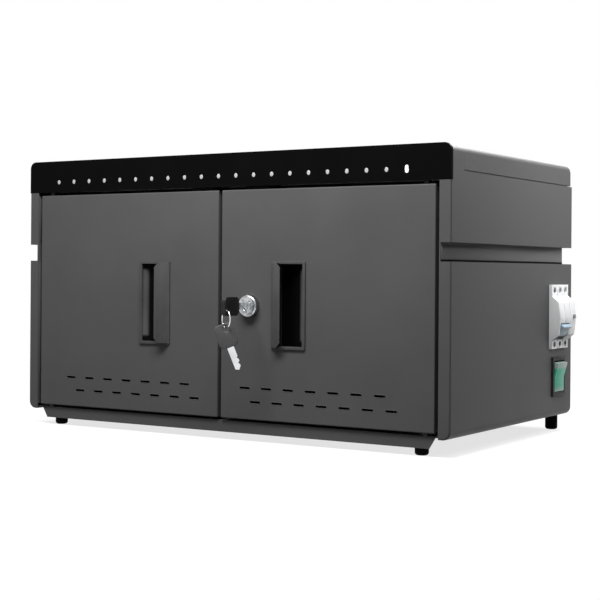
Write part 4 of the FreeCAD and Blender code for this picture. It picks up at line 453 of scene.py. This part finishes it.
# %% [markdown]
# ## A row of lamp lenses
# Each bay has a small lens in the fascia. They repeat at one pitch, so Geometry Nodes make them: a line of
# points, and on each point one lens. A lens is a ball, flattened in front to a low dome and drawn out
# behind to a plug that fills its hole. In front of it sits an oval button, a little wider than the hole,
# as a lens that is pressed in from outside has. The result becomes a plain mesh, which the cabinet carries.

# %% Grow a mesh from a node tree
def new_tree(name, sockets):
    """A Geometry Nodes tree with named inputs. Returns the tree and the outputs of its input node."""
    tree = bpy.data.node_groups.new(name, "GeometryNodeTree")
    tree.interface.new_socket("Geometry", in_out="INPUT", socket_type="NodeSocketGeometry")
    for title, kind in sockets.items():
        tree.interface.new_socket(title, in_out="INPUT", socket_type="NodeSocket" + kind)
    tree.interface.new_socket("Geometry", in_out="OUTPUT", socket_type="NodeSocketGeometry")
    return tree, add(tree, "NodeGroupInput").outputs


def close_tree(tree, instances, finish):
    """Ends a tree: makes real meshes of the instances and gives them their finish."""
    real = add(tree, "GeometryNodeRealizeInstances", {"Geometry": instances})
    painted = add(tree, "GeometryNodeSetMaterial", {"Geometry": real, "Material": finish})
    add(tree, "NodeGroupOutput", {"Geometry": painted})


def settle(piece, smooth=40):
    """Turns a piece with modifiers into a plain mesh with clean normals."""
    graph = bpy.context.evaluated_depsgraph_get()
    solid = bpy.data.meshes.new_from_object(piece.evaluated_get(graph))
    piece.modifiers.clear()
    piece.data = solid
    solid.name = piece.name
    solid.shade_smooth()
    solid.set_sharp_from_angle(angle=math.radians(smooth))
    return piece


def grow(name, tree, values, points=((0, 0, 0),)):
    """Runs a tree on some points, with its inputs set by their identifiers, and keeps the mesh it makes."""
    seeds = bpy.data.meshes.new(name)
    seeds.from_pydata([Vector(p) for p in points], [], [])
    piece = new_object(name, seeds)
    modifier = piece.modifiers.new("nodes", "NODES")
    modifier.node_group = tree
    for item in tree.interface.items_tree:
        if item.name in values and item.in_out == "INPUT":
            modifier[item.identifier] = values[item.name]
    return settle(piece)


def hand_over(piece, body, slot, *replaced):
    """Hangs a piece on the empty of the body that carries it and hides the CAD nodes it stands for. The slot
    is not used.
    """
    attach(piece, body)
    if replaced:
        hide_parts(*replaced)
    print(piece.name, "rides on", body, "with", len(piece.data.polygons), "faces")


# %% Lamp lenses
tree, given = new_tree("lens_row", {
    "Count": "Int", "First": "Vector", "Step": "Vector", "Radius": "Float", "Dome": "Float",
    "Depth": "Float", "Button": "Vector", "Finish": "Material",
})
place = add(tree, "GeometryNodeInputPosition")
x, y, z = add(tree, "ShaderNodeSeparateXYZ", {0: place}).outputs
behind = add(tree, "FunctionNodeCompare", {0: y, 1: 0.0}, data_type="FLOAT", operation="GREATER_THAN")
either = {0: behind, 1: given["Dome"], 2: given["Depth"]}
reach = add(tree, "GeometryNodeSwitch", either, input_type="FLOAT")
ratio = add(tree, "ShaderNodeMath", {0: reach, 1: given["Radius"]}, operation="DIVIDE")
drawn_out = add(tree, "ShaderNodeMath", {0: y, 1: ratio}, operation="MULTIPLY")
moved = add(tree, "ShaderNodeCombineXYZ", {0: x, 1: drawn_out, 2: z})
ball = add(tree, "GeometryNodeMeshUVSphere", {"Segments": 20, "Rings": 12, "Radius": given["Radius"]})
plug = add(tree, "GeometryNodeSetPosition", {"Geometry": ball, "Position": moved})
unit_ball = add(tree, "GeometryNodeMeshUVSphere", {"Segments": 24, "Rings": 14, "Radius": 1.0})
button = add(tree, "GeometryNodeTransform", {"Geometry": unit_ball, "Scale": given["Button"]})
pressed_in = add(tree, "GeometryNodeJoinGeometry", {0: [plug, button]})
row = add(tree, "GeometryNodeMeshLine", {
    "Count": given["Count"], "Start Location": given["First"], "Offset": given["Step"]
})
lenses = add(tree, "GeometryNodeInstanceOnPoints", {"Points": row, "Instance": pressed_in})
close_tree(tree, lenses, given["Finish"])

low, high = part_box("led_lenses")
lamp_radius = 1.75 * MM
button_wide, button_tall = 2.3 * MM, 2.75 * MM
bays = 20
pitch = (high.x - low.x - 2 * lamp_radius) / (bays - 1)
lamp_level = (low.z + high.z) / 2
fascia_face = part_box("led_fascia")[0].y
proud = fascia_face - low.y
lamp_row = grow("lamp_lenses", tree, {
    "Count": bays, "First": (low.x + lamp_radius, fascia_face, lamp_level), "Step": (pitch, 0, 0),
    "Radius": lamp_radius, "Dome": proud, "Depth": high.y - fascia_face,
    "Button": (button_wide, proud, button_tall), "Finish": finishes["lamp_white"],
})
hand_over(lamp_row, "cabinet", "lamp_white", "led_lenses")
print("lamp pitch", round(pitch / MM, 3), "mm")

# %% [markdown]
# ## Rims of the ventilation slots
# The doors breathe through two staggered rows of slots. Punched steel keeps a thin raised edge round each
# slot, and the powder coat rounds it. One could bevel the holes of the door, but the door's mesh is not to
# be touched. A rounded rectangle is swept with a thin round profile instead, and set on the two rows of
# points.

# %% Slot rims
tree, given = new_tree("slot_rims", {
    "Count": "Int", "First": "Vector", "Step": "Vector", "Second row": "Vector", "Length": "Float",
    "Height": "Float", "Bend": "Float", "Wire": "Float", "Finish": "Material",
})
sizes = {"Width": given["Length"], "Height": given["Height"]}
outline = add(tree, "GeometryNodeCurvePrimitiveQuadrilateral", sizes)
bends = {"Curve": outline, "Radius": given["Bend"], "Count": 5}
bent = add(tree, "GeometryNodeFilletCurve", bends, mode="POLY")
upright = add(tree, "GeometryNodeTransform", {"Geometry": bent, "Rotation": stand_up})
wire = add(tree, "GeometryNodeCurvePrimitiveCircle", {"Resolution": 8, "Radius": given["Wire"]})
rim = add(tree, "GeometryNodeCurveToMesh", {"Curve": upright, "Profile Curve": wire})
row = add(tree, "GeometryNodeMeshLine", {
    "Count": given["Count"], "Start Location": given["First"], "Offset": given["Step"]
})
other = add(tree, "GeometryNodeTransform", {"Geometry": row, "Translation": given["Second row"]})
rows = add(tree, "GeometryNodeJoinGeometry", {0: [row, other]})
rims = add(tree, "GeometryNodeInstanceOnPoints", {"Points": rows, "Instance": rim})
close_tree(tree, rims, given["Finish"])

door_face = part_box("left_door_panel")[0].y
rim_level = door_face + 0.25 * MM
slots_in_row, slot_pitch, lower_row = 7, 30.7 * MM, 47.5 * MM
second_row = (-15.2 * MM, 0, 16.4 * MM)
for side, first in (("left", -221.8 * MM), ("right", 52.8 * MM)):
    rims = grow(side + "_slot_rims", tree, {
        "Count": slots_in_row, "First": (first, rim_level, lower_row), "Step": (slot_pitch, 0, 0),
        "Second row": second_row, "Length": 15.4 * MM, "Height": 3.4 * MM, "Bend": 1.65 * MM,
        "Wire": 0.45 * MM, "Finish": finishes["graphite_paint"],
    })
    hand_over(rims, side + "_door", "graphite_paint")

# %% [markdown]
# ## Finger guards of the fans
# Behind each fan sits a guard of bent steel wire: rings, welded to two crossed bars. The CAD guard is cut
# from flat sheet, which is enough for its collision. For the eye the rings are round wire. The tree scales
# one circle to each ring before the sweep, so that every ring has the same wire.

# %% Fan guards
tree, given = new_tree("fan_guard", {
    "Rings": "Int", "Inner": "Float", "Growth": "Float", "Wire": "Float", "Bar": "Float",
    "Bar width": "Float", "Bar thickness": "Float", "Finish": "Material",
})
centre = add(tree, "GeometryNodeMeshLine", {"Count": given["Rings"], "Offset": (0, 0, 0)})
growing = {0: add(tree, "GeometryNodeInputIndex"), 1: given["Growth"], 2: given["Inner"]}
radius = add(tree, "ShaderNodeMath", growing, operation="MULTIPLY_ADD")
circle = add(tree, "GeometryNodeCurvePrimitiveCircle", {"Resolution": 64, "Radius": 1.0})
sized = add(tree, "GeometryNodeInstanceOnPoints", {"Points": centre, "Instance": circle, "Scale": radius})
loose = add(tree, "GeometryNodeRealizeInstances", {"Geometry": sized})
wire = add(tree, "GeometryNodeCurvePrimitiveCircle", {"Resolution": 10, "Radius": given["Wire"]})
rings = add(tree, "GeometryNodeCurveToMesh", {"Curve": loose, "Profile Curve": wire})
back = add(tree, "ShaderNodeMath", {0: given["Bar"], 1: -1.0}, operation="MULTIPLY")
start = add(tree, "ShaderNodeCombineXYZ", {0: back})
end = add(tree, "ShaderNodeCombineXYZ", {0: given["Bar"]})
axis = add(tree, "GeometryNodeCurvePrimitiveLine", {"Start": start, "End": end})
sizes = {"Width": given["Bar width"], "Height": given["Bar thickness"]}
section = add(tree, "GeometryNodeCurvePrimitiveQuadrilateral", sizes)
bends = {"Curve": section, "Radius": 0.5 * MM, "Count": 3}
soft = add(tree, "GeometryNodeFilletCurve", bends, mode="POLY")
bar = add(tree, "GeometryNodeCurveToMesh", {"Curve": axis, "Profile Curve": soft, "Fill Caps": True})
turns = [(0, 0, math.radians(turn)) for turn in (45, -45)]
crossed = [add(tree, "GeometryNodeTransform", {"Geometry": bar, "Rotation": turn}) for turn in turns]
welded = add(tree, "GeometryNodeJoinGeometry", {0: [rings, *crossed]})
upright = add(tree, "GeometryNodeTransform", {"Geometry": welded, "Rotation": stand_up})
placed = add(tree, "GeometryNodeInstanceOnPoints", {"Points": given["Geometry"], "Instance": upright})
close_tree(tree, placed, given["Finish"])

low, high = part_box("fan_guards")
guard_face, guard_middle = high.y, (low.y + high.y) / 2
fan_axes = [(sign * 130 * MM, 140 * MM) for sign in (-1, 1)]
guards = grow("fan_wire_guards", tree, {
    "Rings": 4, "Inner": 8.1 * MM, "Growth": 9 * MM, "Wire": 0.8 * MM, "Bar": 54 * MM,
    "Bar width": 7.4 * MM, "Bar thickness": 1.4 * MM, "Finish": finishes["plain_steel"],
}, [(x, guard_middle, z) for x, z in fan_axes])
hand_over(guards, "cabinet", "plain_steel", "fan_guards")

# %% [markdown]
# ## Screw heads
# The rear panel, the top cover and the fans are held by pan-head screws with a cross recess. No two screws
# stop at the same angle. One head is made once, with a cross cut out of a low dome, and the tree sets it on
# each point with its own turn from a fixed seed. The breaker's terminal screws use the same tree.

# %% Cross-recess screws
tree, given = new_tree("cross_screws", {
    "Radius": "Float", "Height": "Float", "Facing": "Vector", "Seed": "Int", "Finish": "Material",
})
ball = add(tree, "GeometryNodeMeshUVSphere", {"Segments": 28, "Rings": 12, "Radius": 1.0})
size = add(tree, "ShaderNodeCombineXYZ", {0: given["Radius"], 1: given["Radius"], 2: given["Height"]})
head = add(tree, "GeometryNodeTransform", {"Geometry": ball, "Scale": size})
arm = add(tree, "ShaderNodeMath", {0: given["Radius"], 1: 1.15}, operation="MULTIPLY")
slim = add(tree, "ShaderNodeMath", {0: given["Radius"], 1: 0.26}, operation="MULTIPLY")
depth = add(tree, "ShaderNodeMath", {0: given["Height"], 1: 1.2}, operation="MULTIPLY")
lift = add(tree, "ShaderNodeCombineXYZ", {2: given["Height"]})
cross = []
for across, along in ((arm, slim), (slim, arm)):
    bar_size = add(tree, "ShaderNodeCombineXYZ", {0: across, 1: along, 2: depth})
    bar = add(tree, "GeometryNodeMeshCube", {"Size": bar_size})
    cross.append(add(tree, "GeometryNodeTransform", {"Geometry": bar, "Translation": lift}))
cut = {"Mesh 1": head, "Mesh 2": cross}
recessed = add(tree, "GeometryNodeMeshBoolean", cut, operation="DIFFERENCE")
facing = add(tree, "FunctionNodeEulerToRotation", {0: given["Facing"]})
set_in = add(tree, "GeometryNodeInstanceOnPoints", {
    "Points": given["Geometry"], "Instance": recessed, "Rotation": facing
})
quarter = {2: 0.0, 3: math.pi / 2, "Seed": given["Seed"]}
chance = add(tree, "FunctionNodeRandomValue", quarter, data_type="FLOAT").outputs[1]
spin = add(tree, "ShaderNodeCombineXYZ", {2: chance})
spun = add(tree, "GeometryNodeRotateInstances", {"Instances": set_in, "Rotation": spin})
close_tree(tree, spun, given["Finish"])

to_rear = (math.radians(-90), 0, 0)
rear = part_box("right_side_panel")[1].y
flange_x, flange_levels = 287, (49, 128.5, 186.5, 288.5)
inlet_xs, inlet_levels = (217.5, 274.5), (31.5, 108.5)
cover_xs, cover_level = (-219, -73, 73, 219), 324
fan_half = 35.75 * MM
panel_spots = [(sign * flange_x * MM, rear, z * MM) for sign in (-1, 1) for z in flange_levels]
panel_spots += [(x * MM, rear, z * MM) for x in inlet_xs for z in inlet_levels]
cover_spots = [(x * MM, rear, cover_level * MM) for x in cover_xs]
fan_spots = [
    (x + a * fan_half, guard_face, z + b * fan_half)
    for x, z in fan_axes for a in (-1, 1) for b in (-1, 1)
]
screws = (
    # piece, places, replaced node, seed
    ("rear_panel_screw_heads", panel_spots, "rear_panel_screws", 1),
    ("top_cover_screw_heads", cover_spots, "top_cover_screws", 2),
    ("fan_screw_heads", fan_spots, "fan_screws", 3),
)
for name, places, node, seed in screws:
    heads = grow(name, tree, {
        "Radius": 3.8 * MM, "Height": 2.2 * MM, "Facing": to_rear, "Seed": seed,
        "Finish": finishes["plain_steel"],
    }, places)
    hand_over(heads, "cabinet", "plain_steel", node)

# %% Terminal screws of the breaker
to_side = (0, math.radians(90), 0)
low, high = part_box("breaker_body")
poles = 3
module = (high.y - low.y) / poles
terminal_face, terminal_levels = 310.8 * MM, (113.25, 181.75)
terminal_spots = [
    (terminal_face, low.y + module * (i + 0.5), z * MM) for i in range(poles) for z in terminal_levels
]
terminals = grow("breaker_terminal_screws", tree, {
    "Radius": 3.5 * MM, "Height": 1.5 * MM, "Facing": to_side, "Seed": 4,
    "Finish": finishes["black_steel"],
}, terminal_spots)
hand_over(terminals, "cabinet", "black_steel")

# %% [markdown]
# ## Edge strips of the dividers
# Each bay is parted from the next by a thin plastic sheet. Its front edge has a rounded strip, so that a
# tablet slides in without catching. The strips repeat at the pitch of the lamps: a line of points carries
# one upright rod each.

# %% Divider strips
tree, given = new_tree("divider_strips", {
    "Count": "Int", "First": "Vector", "Step": "Vector", "Height": "Float", "Radius": "Float",
    "Finish": "Material",
})
top = add(tree, "ShaderNodeCombineXYZ", {2: given["Height"]})
upright = add(tree, "GeometryNodeCurvePrimitiveLine", {"Start": (0, 0, 0), "End": top})
round_edge = add(tree, "GeometryNodeCurvePrimitiveCircle", {"Resolution": 12, "Radius": given["Radius"]})
rod = add(tree, "GeometryNodeCurveToMesh", {
    "Curve": upright, "Profile Curve": round_edge, "Fill Caps": True
})
row = add(tree, "GeometryNodeMeshLine", {
    "Count": given["Count"], "Start Location": given["First"], "Offset": given["Step"]
})
rods = add(tree, "GeometryNodeInstanceOnPoints", {"Points": row, "Instance": rod})
close_tree(tree, rods, given["Finish"])

low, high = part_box("bay_dividers")
sheet_half, strip_set_back, strip_short = 0.75 * MM, 0.4 * MM, 0.3 * MM
strips = grow("divider_edge_strips", tree, {
    "Count": bays + 1, "First": (low.x + sheet_half, low.y + strip_set_back, low.z + strip_short),
    "Step": (pitch, 0, 0), "Height": high.z - low.z - 2 * strip_short, "Radius": 1.1 * MM,
    "Finish": finishes["divider_grey"],
})
hand_over(strips, "cabinet", "divider_grey")

# %% [markdown]
# ## Rounded mouldings
# A moulded piece has no sharp edge: the tool maker rounds every corner, and those corners catch the light.
# The CAD solids of the small mouldings have hard edges, so each is copied here, its triangles are joined
# into clean faces, and a bevel of the right radius is set on its hard edges. The big sheets keep their CAD
# bends.

# %% Copy a node with rounded edges
def round_edges(piece, radius_mm, segments):
    """Rounds the hard edges of a piece and keeps it as a plain mesh."""
    bevel = piece.modifiers.new("edges", "BEVEL")
    bevel.width = radius_mm * MM
    bevel.segments = segments
    bevel.limit_method = "ANGLE"
    bevel.angle_limit = math.radians(30)
    return settle(piece, 30)


def rounded(name, node, radius_mm, *materials):
    """A copy of a CAD node with rounded edges, in the same place. It can be given other materials."""
    mesh = nodes[node].data.copy()
    mesh.name = name
    stored = mesh.attributes.get("custom_normal")
    if stored:
        mesh.attributes.remove(stored)
    work = bmesh.new()
    work.from_mesh(mesh)
    bmesh.ops.remove_doubles(work, verts=work.verts, dist=0.01 * MM)
    bmesh.ops.dissolve_limit(work, angle_limit=math.radians(1), verts=work.verts, edges=work.edges)
    work.to_mesh(mesh)
    work.free()
    piece = round_edges(new_object(name, mesh), radius_mm, 3)
    if materials:
        piece.data.materials.clear()
    for material in materials:
        piece.data.materials.append(material)
    return piece


# %% Switch, breaker, lamp and inlet
mouldings = (
    # piece, replaced node, radius in mm, body
    ("breaker_housing", "breaker_body", 0.5, "cabinet"),
    ("breaker_lever", "breaker_toggle", 0.6, "breaker_toggle"),
    ("switch_frame", "switch_bezel", 0.5, "cabinet"),
    ("lit_rocker", "switch_rocker", 0.6, "switch_rocker"),
    ("power_lamp_lens", "power_lamp", 0.25, "cabinet"),
    ("mains_inlet_socket", "power_inlet", 0.4, "cabinet"),
    ("key_grip", "key_bow", 0.9, "key"),
    ("spare_key_grip", "spare_key_bow", 0.9, "spare_key"),
)
for name, node, radius, body in mouldings:
    own_finish = [finishes[node]] if node in finishes else []
    hand_over(rounded(name, node, radius, *own_finish), body, slot_of[node], node)

# %% [markdown]
# ## Rubber feet
# A moulded rubber foot has nearly straight sides, and a lower edge so round that the foot looks like a
# drop. A bevel on the CAD foot would stop at the recess of its screw. So one profile, from the screw's hole
# round the recess and the outside, is spun about each foot's own axis.

# %% Feet from one profile
low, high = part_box("feet")
foot_radius, foot_edge = 8 * MM, 3.4 * MM
recess_radius, recess_depth = 4.2 * MM, 12 * MM
hole_radius = 2.1 * MM
front_foot_x = 267.3 * MM
rear_foot_x = high.x - foot_radius
foot_places = [
    (sign * x, y) for sign in (-1, 1)
    for x, y in ((front_foot_x, low.y + foot_radius), (rear_foot_x, high.y - foot_radius))
]
profile = [(hole_radius, recess_depth), (recess_radius, recess_depth), (recess_radius, low.z)]
for turn in range(0, 91, 15):
    inward = foot_edge * (1 - math.sin(math.radians(turn)))
    above = foot_edge * (1 - math.cos(math.radians(turn)))
    profile.append((foot_radius - inward, low.z + above))
profile += [(foot_radius, high.z), (hole_radius, high.z)]
mesh = bpy.data.meshes.new("rubber_feet")
work = bmesh.new()
for x, y in foot_places:
    corners = [work.verts.new((x + radius, y, z)) for radius, z in profile]
    edges = [work.edges.new(pair) for pair in zip(corners, corners[1:] + corners[:1])]
    bmesh.ops.spin(
        work, geom=corners + edges, cent=(x, y, 0), axis=(0, 0, 1), angle=2 * math.pi, steps=40,
        use_merge=True,
    )
bmesh.ops.recalc_face_normals(work, faces=work.faces)
work.to_mesh(mesh)
work.free()
mesh.materials.append(finishes["rubber_black"])
feet = settle(new_object("rubber_feet", mesh))
hand_over(feet, "cabinet", slot_of["feet"], "feet")

# %% [markdown]
# ## The lock
# The face of the lock is duller than the ring and the blades, a mid grey with bright patches. A flat chrome
# would mirror only the white surround. So the casting is given a soft bevel here and a darker chrome of its
# own, whose colour is painted in bright and dark clouds as painted reflections.

# %% Chrome with painted reflections
# To the eye: mid-grey metal with painted bright and dark reflection patches, soft at the rim.
chrome_painted_reflections, tree, shader, where = start_finish("chromed_casting_painted_reflections", {"Metallic": 1.0})
cloud = add(tree, "ShaderNodeTexNoise", {
    "Vector": where, "Scale": per_mm(7), "Detail": 2.0, "Distortion": 0.6
})
# Painted reflections: the cloud paints bright and dark patches into the chrome's colour.
tone = add(tree, "ShaderNodeValToRGB", {"Fac": cloud}, ((0.38, "#828486"), (0.62, "#c4c6c8")))
gloss = add(tree, "ShaderNodeMapRange", {"Value": cloud, 1: 0.35, 2: 0.65, 3: 0.34, 4: 0.14})
feed(tree, shader, {"Base Color": tone, "Roughness": gloss})
lock_pieces = (("lock_casting", "lock_housing", "right_door"), ("lock_core", "lock_plug", "lock"))
for name, node, body in lock_pieces:
    hand_over(rounded(name, node, 0.6, chrome_painted_reflections), body, slot_of[node], node)

# %% [markdown]
# ## Returns of the stiles
# Beside each door the front edge of the side sheet is folded back once more, so that no raw edge faces the
# hand. The fold closes the view past the door's hinge edge. A thin strip with a rounded front stands for
# it, above and below the finger groove.

# %% Folded returns
def strip_box(name, across, along, upward, radius_mm, finish):
    """A plain block with rounded edges, from its spans in x, y and z."""
    mesh = bpy.data.meshes.new(name)
    work = bmesh.new()
    bmesh.ops.create_cube(work, size=1.0)
    spans = (across, along, upward)
    for corner in work.verts:
        corner.co = [max(span) if v > 0 else min(span) for v, span in zip(corner.co, spans)]
    work.to_mesh(mesh)
    work.free()
    mesh.materials.append(finish)
    return round_edges(new_object(name, mesh), radius_mm, 2)


sides = (("left", -1), ("right", 1))
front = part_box("right_side_panel")[0].y
door_low, door_high = (corner.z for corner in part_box("left_door_panel"))
stile_edge, fold_thickness = 295.5 * MM, 1.2 * MM
fold_along = (front + 1.3 * MM, front + 9 * MM)
folds = (("lower", (door_low, 214 * MM)), ("upper", (238 * MM, door_high)))
for side, sign in sides:
    fold_across = (stile_edge * sign, (stile_edge + fold_thickness) * sign)
    for part, upward in folds:
        name = f"{side}_{part}_stile_return"
        fold = strip_box(name, fold_across, fold_along, upward, 0.3, finishes["graphite_paint"])
        hand_over(fold, "cabinet", "graphite_paint")

# %% [markdown]
# ## Lining of the finger grooves
# Each groove shows as an even grey band between two dark lines. A bare fold would fade from a black top to a
# pale bottom. So a thin strip lies on the groove's wall, short of its upper edge, with a paler coat as
# painted light that evens out the shade under the lip, and a black bead lies along the corner below it. Both
# are under a millimetre thick, so fingers keep their room.

# %% Strips and beads
# To the eye: the doors' coat, painted paler as painted light on the shaded groove wall.
pale = powder_coat("powder_coat_painted_light_grey", "#6c6c6c", "#747474")
groove_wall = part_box("right_side_panel")[1].x - 13 * MM
sunk, end_gap = 0.3 * MM, 1 * MM
trim_along = (front + end_gap, rear - end_gap)
groove_trim = (
    # name, how far it stands out, span in z, finish, slot
    # The lining's paler coat is painted light.
    ("lining", 0.5 * MM, (218.0 * MM, 234.2 * MM), pale, "graphite_paint"),
    ("bead", 0.8 * MM, (215.6 * MM, 217.9 * MM), finishes["rubber_black"], "rubber_black"),
)
for side, sign in sides:
    for part, out, upward, finish, slot in groove_trim:
        trim_across = ((groove_wall - sunk) * sign, (groove_wall + out) * sign)
        strip = strip_box(f"{side}_groove_{part}", trim_across, trim_along, upward, 0.2, finish)
        hand_over(strip, "cabinet", slot)

# %% [markdown]
# ## Door handles
# Each handle is a frame in the colour of the doors round a finger cup, with a raised grip over the cup's
# free side. It is one black moulding with a grey front. Two flat colours would give it a hard line inside
# the cup. So painted shade darkens the grey to black with depth and towards the ends of the cup, and lowers
# its sheen there. The faces under the grip and those that point backwards keep the black plastic.

# %% Grey plastic with painted shade in the cup
# To the eye: the doors' grey, a shade darker, with painted shade that sinks it into black inside the cup.
low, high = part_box("left_handle_cup")
handle_abs_with_painted_shade, tree, shader, where = start_finish("graphite_abs_with_painted_cup_shade", {"Roughness": 0.5})
_, depth, height = add(tree, "ShaderNodeSeparateXYZ", {0: where}).outputs
# Painted shade: the grey fades to black with depth in the cup.
clear_of_depth_shade = add(tree, "ShaderNodeMapRange", {
    "Value": depth, 1: door_face + 3.8 * MM, 2: door_face + 5.6 * MM, 3: 1.0, 4: 0.0
})
# Painted shade also darkens the ends of the cup.
offset = add(tree, "ShaderNodeMath", {0: height, 1: (low.z + high.z) / 2}, operation="SUBTRACT")
from_middle = add(tree, "ShaderNodeMath", {0: offset}, operation="ABSOLUTE")
clear_of_end_shade = add(tree, "ShaderNodeMapRange", {
    "Value": from_middle, 1: 40 * MM, 2: 43 * MM, 3: 1.0, 4: 0.0
})
on_front = add(tree, "ShaderNodeMath", {0: depth, 1: door_face}, operation="LESS_THAN")
clear_of_end_shade_or_front = add(tree, "ShaderNodeMath", {0: clear_of_end_shade, 1: on_front}, operation="MAXIMUM")
cover = add(tree, "ShaderNodeMath", {0: clear_of_depth_shade, 1: clear_of_end_shade_or_front}, operation="MULTIPLY")
drift = add(tree, "ShaderNodeTexNoise", {"Vector": where, "Scale": per_mm(30), "Detail": 3.0})
grain = add(tree, "ShaderNodeTexNoise", {"Vector": where, "Scale": per_mm(0.9), "Detail": 2.0})
tone = add(tree, "ShaderNodeValToRGB", {"Fac": drift}, ((0.3, "#404040"), (0.7, "#484848")))
# The painted shade darkens the tone and lowers the sheen inside the cup.
paint = add(tree, "ShaderNodeMix", {0: cover, 6: colour("#070707"), 7: tone}, data_type="RGBA").outputs[2]
sheen = add(tree, "ShaderNodeMapRange", {"Value": cover, 3: 0.02, 4: 0.1})
skin = add(tree, "ShaderNodeBump", {"Height": grain, "Strength": 0.15, "Distance": 0.2 * MM})
feed(tree, shader, {"Base Color": paint, "Specular IOR Level": sheen, "Normal": skin})
print(handle_abs_with_painted_shade.name, "has", len(tree.nodes), "nodes")

# %% Handles in two finishes
grip_x = 114 * MM
for side, sign in sides:
    node = side + "_handle_cup"
    handle = rounded(side + "_handle", node, 0.7, finishes["moulded_black"], handle_abs_with_painted_shade)
    painted = 0
    for face in handle.data.polygons:
        backwards = face.normal.y > 0.2
        under_grip = face.normal.x * sign > 0.3 and face.center.x * sign < grip_x
        face.material_index = int(not backwards and not under_grip)
        painted += face.material_index
    hand_over(handle, side + "_door", "moulded_black", node)
    print(side, "handle:", painted, "of", len(handle.data.polygons), "faces painted")
